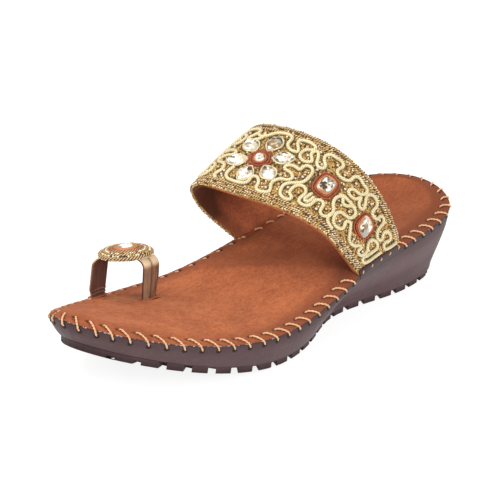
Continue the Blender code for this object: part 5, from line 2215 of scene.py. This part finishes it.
@dataclass
class CutStone:
    """Cut stone: upright girdle, crown of small facets and a table, on a flat back."""

    outline: Array
    height: float
    seed: int
    glints: Sequence[Four] = ()

    def tone(self, middle: Array, rng: np.random.Generator) -> float:
        """Shade of a facet, as a painted reflection.

        Args:
            middle: Its middle in millimetres.
            rng: Source of the shades that are not charted.

        Returns:
            Number from 0, white, to 1, dark.
        """
        chance = float(rng.uniform())
        for x, y, reach, tone in self.glints:
            if (middle[0] - x) ** 2 + (middle[1] - y) ** 2 < reach**2:
                return tone
        # neighbours share a shade, so that some facets look large
        sector = int((math.atan2(middle[1], middle[0]) / math.tau + 0.5) * 5.0 + 0.1 * self.seed)
        level = int(middle[2] / self.height * 3.0)
        patch = math.sin(12.9 * sector + 4.7 * level + self.seed) * 437.5
        chance = 0.25 * chance + 0.75 * (patch - math.floor(patch))
        return (0.1, 0.1, 0.1, 0.42, 0.1, 0.42, 0.6, 0.78, 0.95)[min(int(chance * 9.0), 8)]

    def build(self, name: str, frame: Matrix, node: str) -> None:
        """Make the stone in place of its plain solid.

        Args:
            name: Name of the piece.
            frame: Where it sits, with Z out of the surface.
            node: CAD node that it stands for.
        """
        rng = np.random.default_rng(self.seed)
        between = (self.outline + np.roll(self.outline, -1, axis=0)) / 2
        count = len(self.outline)
        rings = (
            (self.outline, 1.0, 0.0), (self.outline, 1.0, 0.32), (between, 0.86, 0.68),
            (self.outline, 0.66, 0.92), (between, 0.40, 1.0),
        )
        rows = [
            np.column_stack([line * scale, np.full(count, self.height * up)])
            for line, scale, up in rings
        ]
        corners = [list(range(count))[::-1]]
        corners += [[k, (k + 1) % count, count + (k + 1) % count, count + k] for k in range(count)]
        for level in range(1, len(rings) - 1):
            low, high = level * count, (level + 1) * count
            for k in range(count):
                after = (k + 1) % count
                if level % 2:
                    corners += [[low + k, low + after, high + k], [low + after, high + after, high + k]]
                else:
                    corners += [[low + k, low + after, high + after], [low + k, high + after, high + k]]
        top = (len(rings) - 1) * count
        corners += [[top + k, top + (k + 1) % count, top + count] for k in range(count)]
        points = np.vstack([np.vstack(rows) * MM, [[0.0, 0.0, self.height * 0.98 * MM]]])
        # each facet has its own points, so that it can have its own shade
        shown, faces, tones = [], [], []
        for face in corners:
            start = len(shown)
            shown += [points[k] for k in face]
            faces.append(list(range(start, start + len(face))))
            tones += [self.tone(np.mean([points[k] for k in face], axis=0) / MM, rng)] * len(face)
        form = Form()
        form.add(np.array([frame @ Vector(p) for p in shown]), faces, tone=np.array(tones))
        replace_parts(form.piece(name, Finish.STONE, "clear_stone", sharp=None), node)


# Toe loop


@dataclass
class ToeLoop:
    """Folded leather strip round the big toe with a beaded medallion on top."""

    lateral: Pair = (-19.2, 187.8)
    medial: Pair = (-41.1, 199.5)
    width: float = 9.6
    wall: float = 1.6
    turn: float = 0.04
    top_lateral: float = 42.2
    top_medial: float = 39.4
    lean: float = 1.5
    corner: float = 5.0
    foot_lateral: float = 21.0
    foot_medial: float = 18.8
    # how the strip narrows to its feet: share lost, height where it starts, and over what fall
    narrow_lateral: Triple = (0.16, 33.0, 10.0)
    narrow_medial: Triple = (0.14, 24.5, 4.0)
    steps: int = 110
    disc_share: float = 0.5
    disc_radius: float = 12.8
    disc_dome: float = 3.2
    # radius of each ring of cord, its height on the disc and the cord's own radius
    coils: tuple[Triple, ...] = ((11.95, 0.4, 0.85), (9.95, 1.7, 0.72), (8.05, 2.2, 0.5), (6.6, 2.6, 0.42))
    red_cords: tuple[Triple, ...] = ((7.3, 2.4, 0.32), (5.85, 2.8, 0.3))
    peach_cords: tuple[Triple, ...] = ((5.15, 2.95, 0.36), (4.4, 3.1, 0.4), (3.7, 3.2, 0.4))
    stone_size: Pair = (7.0, 2.0)
    seed: int = 31

    def feet(self) -> Array:
        """Places of both feet: across and along."""
        return np.array((self.lateral, self.medial))

    def chord(self) -> tuple[float, Array]:
        """Length and level direction of the line between the feet."""
        step = np.array(self.medial) - np.array(self.lateral)
        return float(np.linalg.norm(step)), unit(step)

    def path(self) -> Array:
        """Middle line of the strip: distance along the chord and height.

        Returns:
            Points at even steps, in millimetres.
        """
        length, _ = self.chord()
        near, far = (0.0, self.top_lateral), (length - self.lean, self.top_medial)
        corners = np.array(((0.0, self.foot_lateral), near, far, (length, self.foot_medial)))
        points = [corners[0]]
        for before, at, after in zip(corners, corners[1:], corners[2:]):
            toward, away = unit(before - at), unit(after - at)
            half = math.acos(float(toward @ away)) / 2
            centre = at + unit(toward + away) * self.corner / math.sin(half)
            start = at + toward * self.corner / math.tan(half) - centre
            side = math.copysign(1.0, toward[1] * away[0] - toward[0] * away[1])
            for k in range(13):
                angle = side * (math.pi - 2 * half) * k / 12
                spin = np.array(((math.cos(angle), -math.sin(angle)), (math.sin(angle), math.cos(angle))))
                points.append(centre + spin @ start)
        return evenly(np.array([*points, corners[-1]]), self.steps)

    def width_axis(self) -> Array:
        """Level unit direction of the strip's width: across, along."""
        return unit(np.array((self.turn, -1.0)))

    @staticmethod
    def narrowed(height: float, share: float, start: float, fall: float) -> float:
        """Width left at a height, where a share of it is lost below a start over a fall."""
        return 1.0 - share * float(ease((start - height) / fall))

    def strip(self, profile: Sequence[Pair]) -> tuple[Array, Array]:
        """Sweep a section round the loop.

        Args:
            profile: Place over the width and out of the strip, in millimetres.

        Returns:
            Grid of places in metres, and how far up each row stands.
        """
        path = self.path()
        along = unit(np.gradient(path, axis=0))
        out = np.stack([-along[:, 1], along[:, 0]], axis=1)
        length, chord = self.chord()
        axis, half = self.width_axis(), self.width / 2
        rows = []
        for (distance, height), (lean, rise) in zip(path, out):
            row = []
            for over, up in profile:
                if distance < length / 2:
                    over = (over + half) * self.narrowed(height, *self.narrow_lateral) - half
                else:
                    over = half - (half - over) * self.narrowed(height, *self.narrow_medial)
                flat = np.array(self.lateral) + chord * (distance + lean * up) + axis * over
                row.append((flat[0], flat[1], height + rise * up))
            rows.append(row)
        return world(np.array(rows)), path[:, 1]

    def build(self) -> None:
        """Make the loop and its medallion."""
        half, wall = self.width / 2, self.wall / 2
        near = (
            (half - 0.1, -0.05), (half, 0.35), (half - 0.35, 0.72), (2.6, wall), (1.0, wall - 0.04),
            (0.45, 0.42), (0.12, 0.18),
        )
        outer = [*((-over, up) for over, up in near), *near[::-1], (0.0, -0.05)]
        grid, height = self.strip(outer)
        seam, glow = np.zeros(grid.shape[:2]), np.zeros(grid.shape[:2])
        seam[:, 5:9] = (0.55, 1.0, 1.0, 0.55)
        # painted highlight along the top of the loop and on one edge
        glow += ease((height - 36.2) / 2.4)[:, None] * 0.9
        glow[:, :5] += 0.12
        form = Form()
        form.add(grid, drum(*grid.shape[:2]), seam=seam * 0.8, glow=np.clip(glow, 0.0, 1.0))
        piece = form.piece("loop_leather", Finish.LOOP, "bronze_leather", sharp=75.0)
        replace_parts(piece, "toe_loop")
        near = ((half - 0.3, -0.1), (half - 0.15, -0.45), (half - 0.4, -wall))
        inner = [*((-over, up) for over, up in near), *near[::-1]]
        grid, _ = self.strip(inner)
        form = Form()
        form.add(grid, drum(*grid.shape[:2]))
        form.piece("loop_lining", Finish.LOOP_LINING, "bronze_leather", sharp=75.0)
        self.collars()
        self.medallion()

    def collars(self) -> None:
        """Make the suede lips round the loop's feet and the fold above the far one."""
        lips, fold = Form(), Form()
        axis, chord = self.width_axis(), self.chord()[1]
        for foot, level, narrow, shift in (
            (self.lateral, self.foot_lateral + 0.7, 0.84, -0.08),
            (self.medial, self.foot_medial + 0.9, 0.86, 0.07),
        ):
            angle = np.linspace(0.0, math.tau, 49)[:-1]
            over = (self.width / 2 * narrow + 0.5) * np.sign(np.cos(angle)) * np.abs(np.cos(angle)) ** 0.4
            side = (self.wall / 2 + 0.55) * np.sign(np.sin(angle)) * np.abs(np.sin(angle)) ** 0.6
            flat = np.array(foot) + axis * (over + self.width * shift)[:, None] + chord * side[:, None]
            ring = np.column_stack([flat, np.full(len(flat), level)])
            lips.tube(world(ring), UP, 0.55 * MM, closed=True)
        reach = np.linspace(-self.width / 2 * 0.9 + 0.35, self.width / 2, 14)
        for lift, size in ((4.6, 0.34), (2.9, 0.26)):
            flat = np.array(self.medial) + axis * reach[:, None] - chord * (self.wall / 2 + 0.15)
            rise = self.foot_medial + lift + 0.25 * np.cos(reach * 0.5)
            fold.tube(world(np.column_stack([flat, rise])), UP, size * MM)
        lips.piece("loop_collars", Finish.FOOTBED, "suede")
        fold.piece("loop_fold", Finish.LOOP, "bronze_leather")

    def frame(self) -> Matrix:
        """Frame on top of the loop, with Z out of the medallion.

        Returns:
            The frame, in metres.
        """
        length, direction = self.chord()
        rise = (self.top_medial - self.top_lateral) / (length - self.lean)
        slope = Vector((direction[0], -direction[1], rise)).normalized()
        width = self.width_axis()
        normal = slope.cross(Vector((width[0], -width[1], 0.0))).normalized()
        if normal.z < 0:
            normal.negate()
        flat = np.array(self.lateral) + direction * (length - self.lean) * self.disc_share
        height = self.top_lateral + (self.top_medial - self.top_lateral) * self.disc_share
        top = Vector(world(np.array((flat[0], flat[1], height))))
        frame = normal.to_track_quat("Z", "Y").to_matrix().to_4x4()
        frame.translation = top + normal * (self.wall / 2 + GAP) * MM
        return frame

    def ringed(self, frame: Matrix, radius: float, height: float, count: int, phase: float = 0.0) -> Array:
        """Places of a ring on the medallion.

        Args:
            frame: Frame of the medallion.
            radius: Radius of the ring in millimetres.
            height: Height over the medallion's base.
            count: Number of places.
            phase: Share of a step by which the ring is turned.

        Returns:
            The places in metres.
        """
        angle = math.tau * (np.arange(count) + phase) / count
        flat = np.stack([np.cos(angle) * radius, np.sin(angle) * radius, np.full(count, height)], axis=1)
        return np.array([frame @ Vector(p * MM) for p in flat])

    def medallion(self) -> None:
        """Make the medallion in place of its plain disc."""
        rng = np.random.default_rng(self.seed)
        frame = self.frame()
        up = np.array(frame.to_3x3() @ Vector(UP))
        radius = self.disc_radius
        base = Form()
        profile = (
            (0.02, 0.0), (radius * 0.9, -0.7), (radius * 0.95, -0.5), (radius * 0.95, 0.1),
            (radius * 0.86, 1.2), (radius * 0.6, 2.1), (0.02, 2.5),
        )
        rings = np.array([self.ringed(frame, reach, height, 48) for reach, height in profile])
        base.add(rings, drum(*rings.shape[:2], inward=True), seam=0.0, glow=0.0)
        piece = base.piece("medallion_base", Finish.LOOP_LINING, "gold_beads", sharp=80.0)
        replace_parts(piece, "toe_medallion")
        beads = Form()
        rings = ((11.0, 1.3, 0.58, 58), (8.9, 2.05, 0.55, 50), (12.3, -0.35, 0.42, 84))
        for reach, height, size, count in rings:
            places = self.ringed(frame, reach, height, count, float(rng.uniform()))
            tone = rng.choice([0.1, 0.5, 0.9], count, p=[0.26, 0.36, 0.38])
            beads.beads(places, up, size * MM * rng.uniform(0.9, 1.06, count), tone, 0.95)
        beads.piece("medallion_beads", Finish.BEADS, "gold_beads")
        for name, finish, rows in (
            ("medallion_coils", Finish.EDGE_CORD, self.coils),
            ("medallion_red_cords", Finish.RED_CORD, self.red_cords),
            ("medallion_peach_cord", Finish.PEACH_CORD, self.peach_cords),
        ):
            form = Form()
            for reach, height, size in rows:
                path = self.ringed(frame, reach, height, 260)
                form.tube(path, up, size * MM, sides=9, lobes=3, pitch=4.6, depth=0.4, closed=True)
            form.piece(name, finish, "gold_beads")
        seat = frame @ Matrix.Translation((0.0, 0.0, (self.disc_dome - 0.6) * MM))
        cut = CutStone(round_outline(self.stone_size[0], 12), self.stone_size[1], self.seed)
        cut.build("toe_stone", seat, "toe_crystal")


# Room


@dataclass(frozen=True)
class Lamp:
    """Soft area light."""

    name: str
    place: Triple
    size: float
    power: float
    colour: Colour = (1.0, 1.0, 1.0)


@dataclass
class Studio:
    """Pale floor, soft lights and the camera."""

    azimuth: float = 36.2309965
    elevation: float = 19.9444151
    roll: float = 2.98767904
    distance: float = 1.10380816
    lens: float = 170.53
    slide: Pair = (-0.00656576, 0.003894025)
    target: Triple = (0.00075, 0.0, 0.03)
    floor_level: float = -0.0003
    floor_reach: float = 6.0
    # where the floor starts to curve up behind the sandal, over what length, and how high
    floor_bend: Triple = (3.0, 3.0, 1.5)
    glow: float = 0.62
    lamps: tuple[Lamp, ...] = (
        Lamp("lamp_over", (-0.35, -0.35, 1.25), 1.1, 11.8, (1.0, 0.985, 0.96)),
        Lamp("lamp_side", (1.1, -0.35, 0.45), 0.8, 8.0, (0.96, 0.97, 1.0)),
        Lamp("lamp_toe", (-0.7, -1.1, 0.6), 0.8, 4.6, (1.0, 0.99, 0.97)),
    )

    def build(self) -> None:
        """Make the floor, the lights and the camera."""
        self.floor()
        self.lights()
        self.camera()

    def floor(self) -> None:
        """Make the pale floor that curves up behind the sandal."""
        paint = Paint("finish_floor")
        colour = paint.blend(paint.grain(120.0).above(0.5, 0.6), (0.27, 0.27, 0.268), (0.30, 0.30, 0.30))
        paint.wear(colour, 0.9, Emission_Color=(1.0, 1.0, 1.0), Emission_Strength=0.85)
        rows, columns = 40, 24
        y, x = (np.linspace(-self.floor_reach, self.floor_reach, count) for count in (rows, columns))
        start, length, rise = self.floor_bend
        x, y = np.meshgrid(x, y)
        grid = np.stack([x, y, self.floor_level + rise * ease((y - start) / length)], axis=-1)
        mesh = bpy.data.meshes.new("floor")
        mesh.from_pydata(grid.reshape(-1, 3).tolist(), [], [quad[::-1] for quad in lattice(rows, columns)])
        mesh.shade_smooth()
        mesh.materials.append(paint.material)
        obj = bpy.data.objects.new("floor", mesh)
        bpy.context.scene.collection.objects.link(obj)
        obj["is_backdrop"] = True

    def lights(self) -> None:
        """Make the soft lights and the pale surroundings."""
        for lamp in self.lamps:
            data = bpy.data.lights.new(lamp.name, "AREA")
            data.shape = "DISK"
            data.size = lamp.size
            data.energy = lamp.power
            data.color = lamp.colour
            obj = bpy.data.objects.new(lamp.name, data)
            obj.location = lamp.place
            obj.rotation_euler = (-Vector(lamp.place)).to_track_quat("-Z", "Y").to_euler()
            bpy.context.scene.collection.objects.link(obj)
        room = bpy.data.worlds.new("room")
        room.use_nodes = True
        shade = room.node_tree.nodes["Background"]
        shade.inputs["Color"].default_value = (1.0, 1.0, 1.0, 1.0)
        shade.inputs["Strength"].default_value = self.glow
        bpy.context.scene.world = room
        bpy.context.scene.view_settings.view_transform = "Standard"

    def camera(self) -> None:
        """Make the camera."""
        turn, tilt, roll = (math.radians(x) for x in (self.azimuth, self.elevation, self.roll))
        back = Vector((math.sin(turn) * math.cos(tilt), -math.cos(turn) * math.cos(tilt), math.sin(tilt)))
        level = (-back).cross(Vector((0.0, 0.0, 1.0))).normalized()
        upright = level.cross(-back)
        right = level * math.cos(roll) + upright * math.sin(roll)
        up = upright * math.cos(roll) - level * math.sin(roll)
        place = Vector(self.target) + back * self.distance + right * self.slide[0] + up * self.slide[1]
        data = bpy.data.cameras.new("camera")
        data.lens = self.lens
        data.sensor_width = 36.0
        data.clip_start = 0.05
        data.clip_end = 60.0
        obj = bpy.data.objects.new("camera", data)
        matrix = Matrix((right, up, back)).transposed().to_4x4()
        matrix.translation = place
        obj.matrix_world = matrix
        bpy.context.scene.collection.objects.link(obj)
        bpy.context.scene.camera = obj


def corners() -> list[list[float]]:
    """Lowest and highest corner of what shows, as plain lists."""
    return [[float(x) for x in corner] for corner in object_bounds()]


def main() -> None:
    """Load the frame and build the sandal's look over it."""
    logging.basicConfig(level=logging.INFO, format="%(name)s: %(message)s")
    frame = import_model()
    rim = Sole().rim()
    surface = StrapSurface(rim)
    stitches = WhipStitches(rim, surface)
    loop = ToeLoop()
    SoleDress(rim, surface).build(frame["nodes"])
    Footbed(rim, surface, stitches, loop).build()
    stitches.build()
    embroidery = Embroidery(surface)
    Strap(surface).build(embroidery.footprint())
    embroidery.build()
    loop.build()
    Studio().build()


if __name__ == "__main__":
    main()
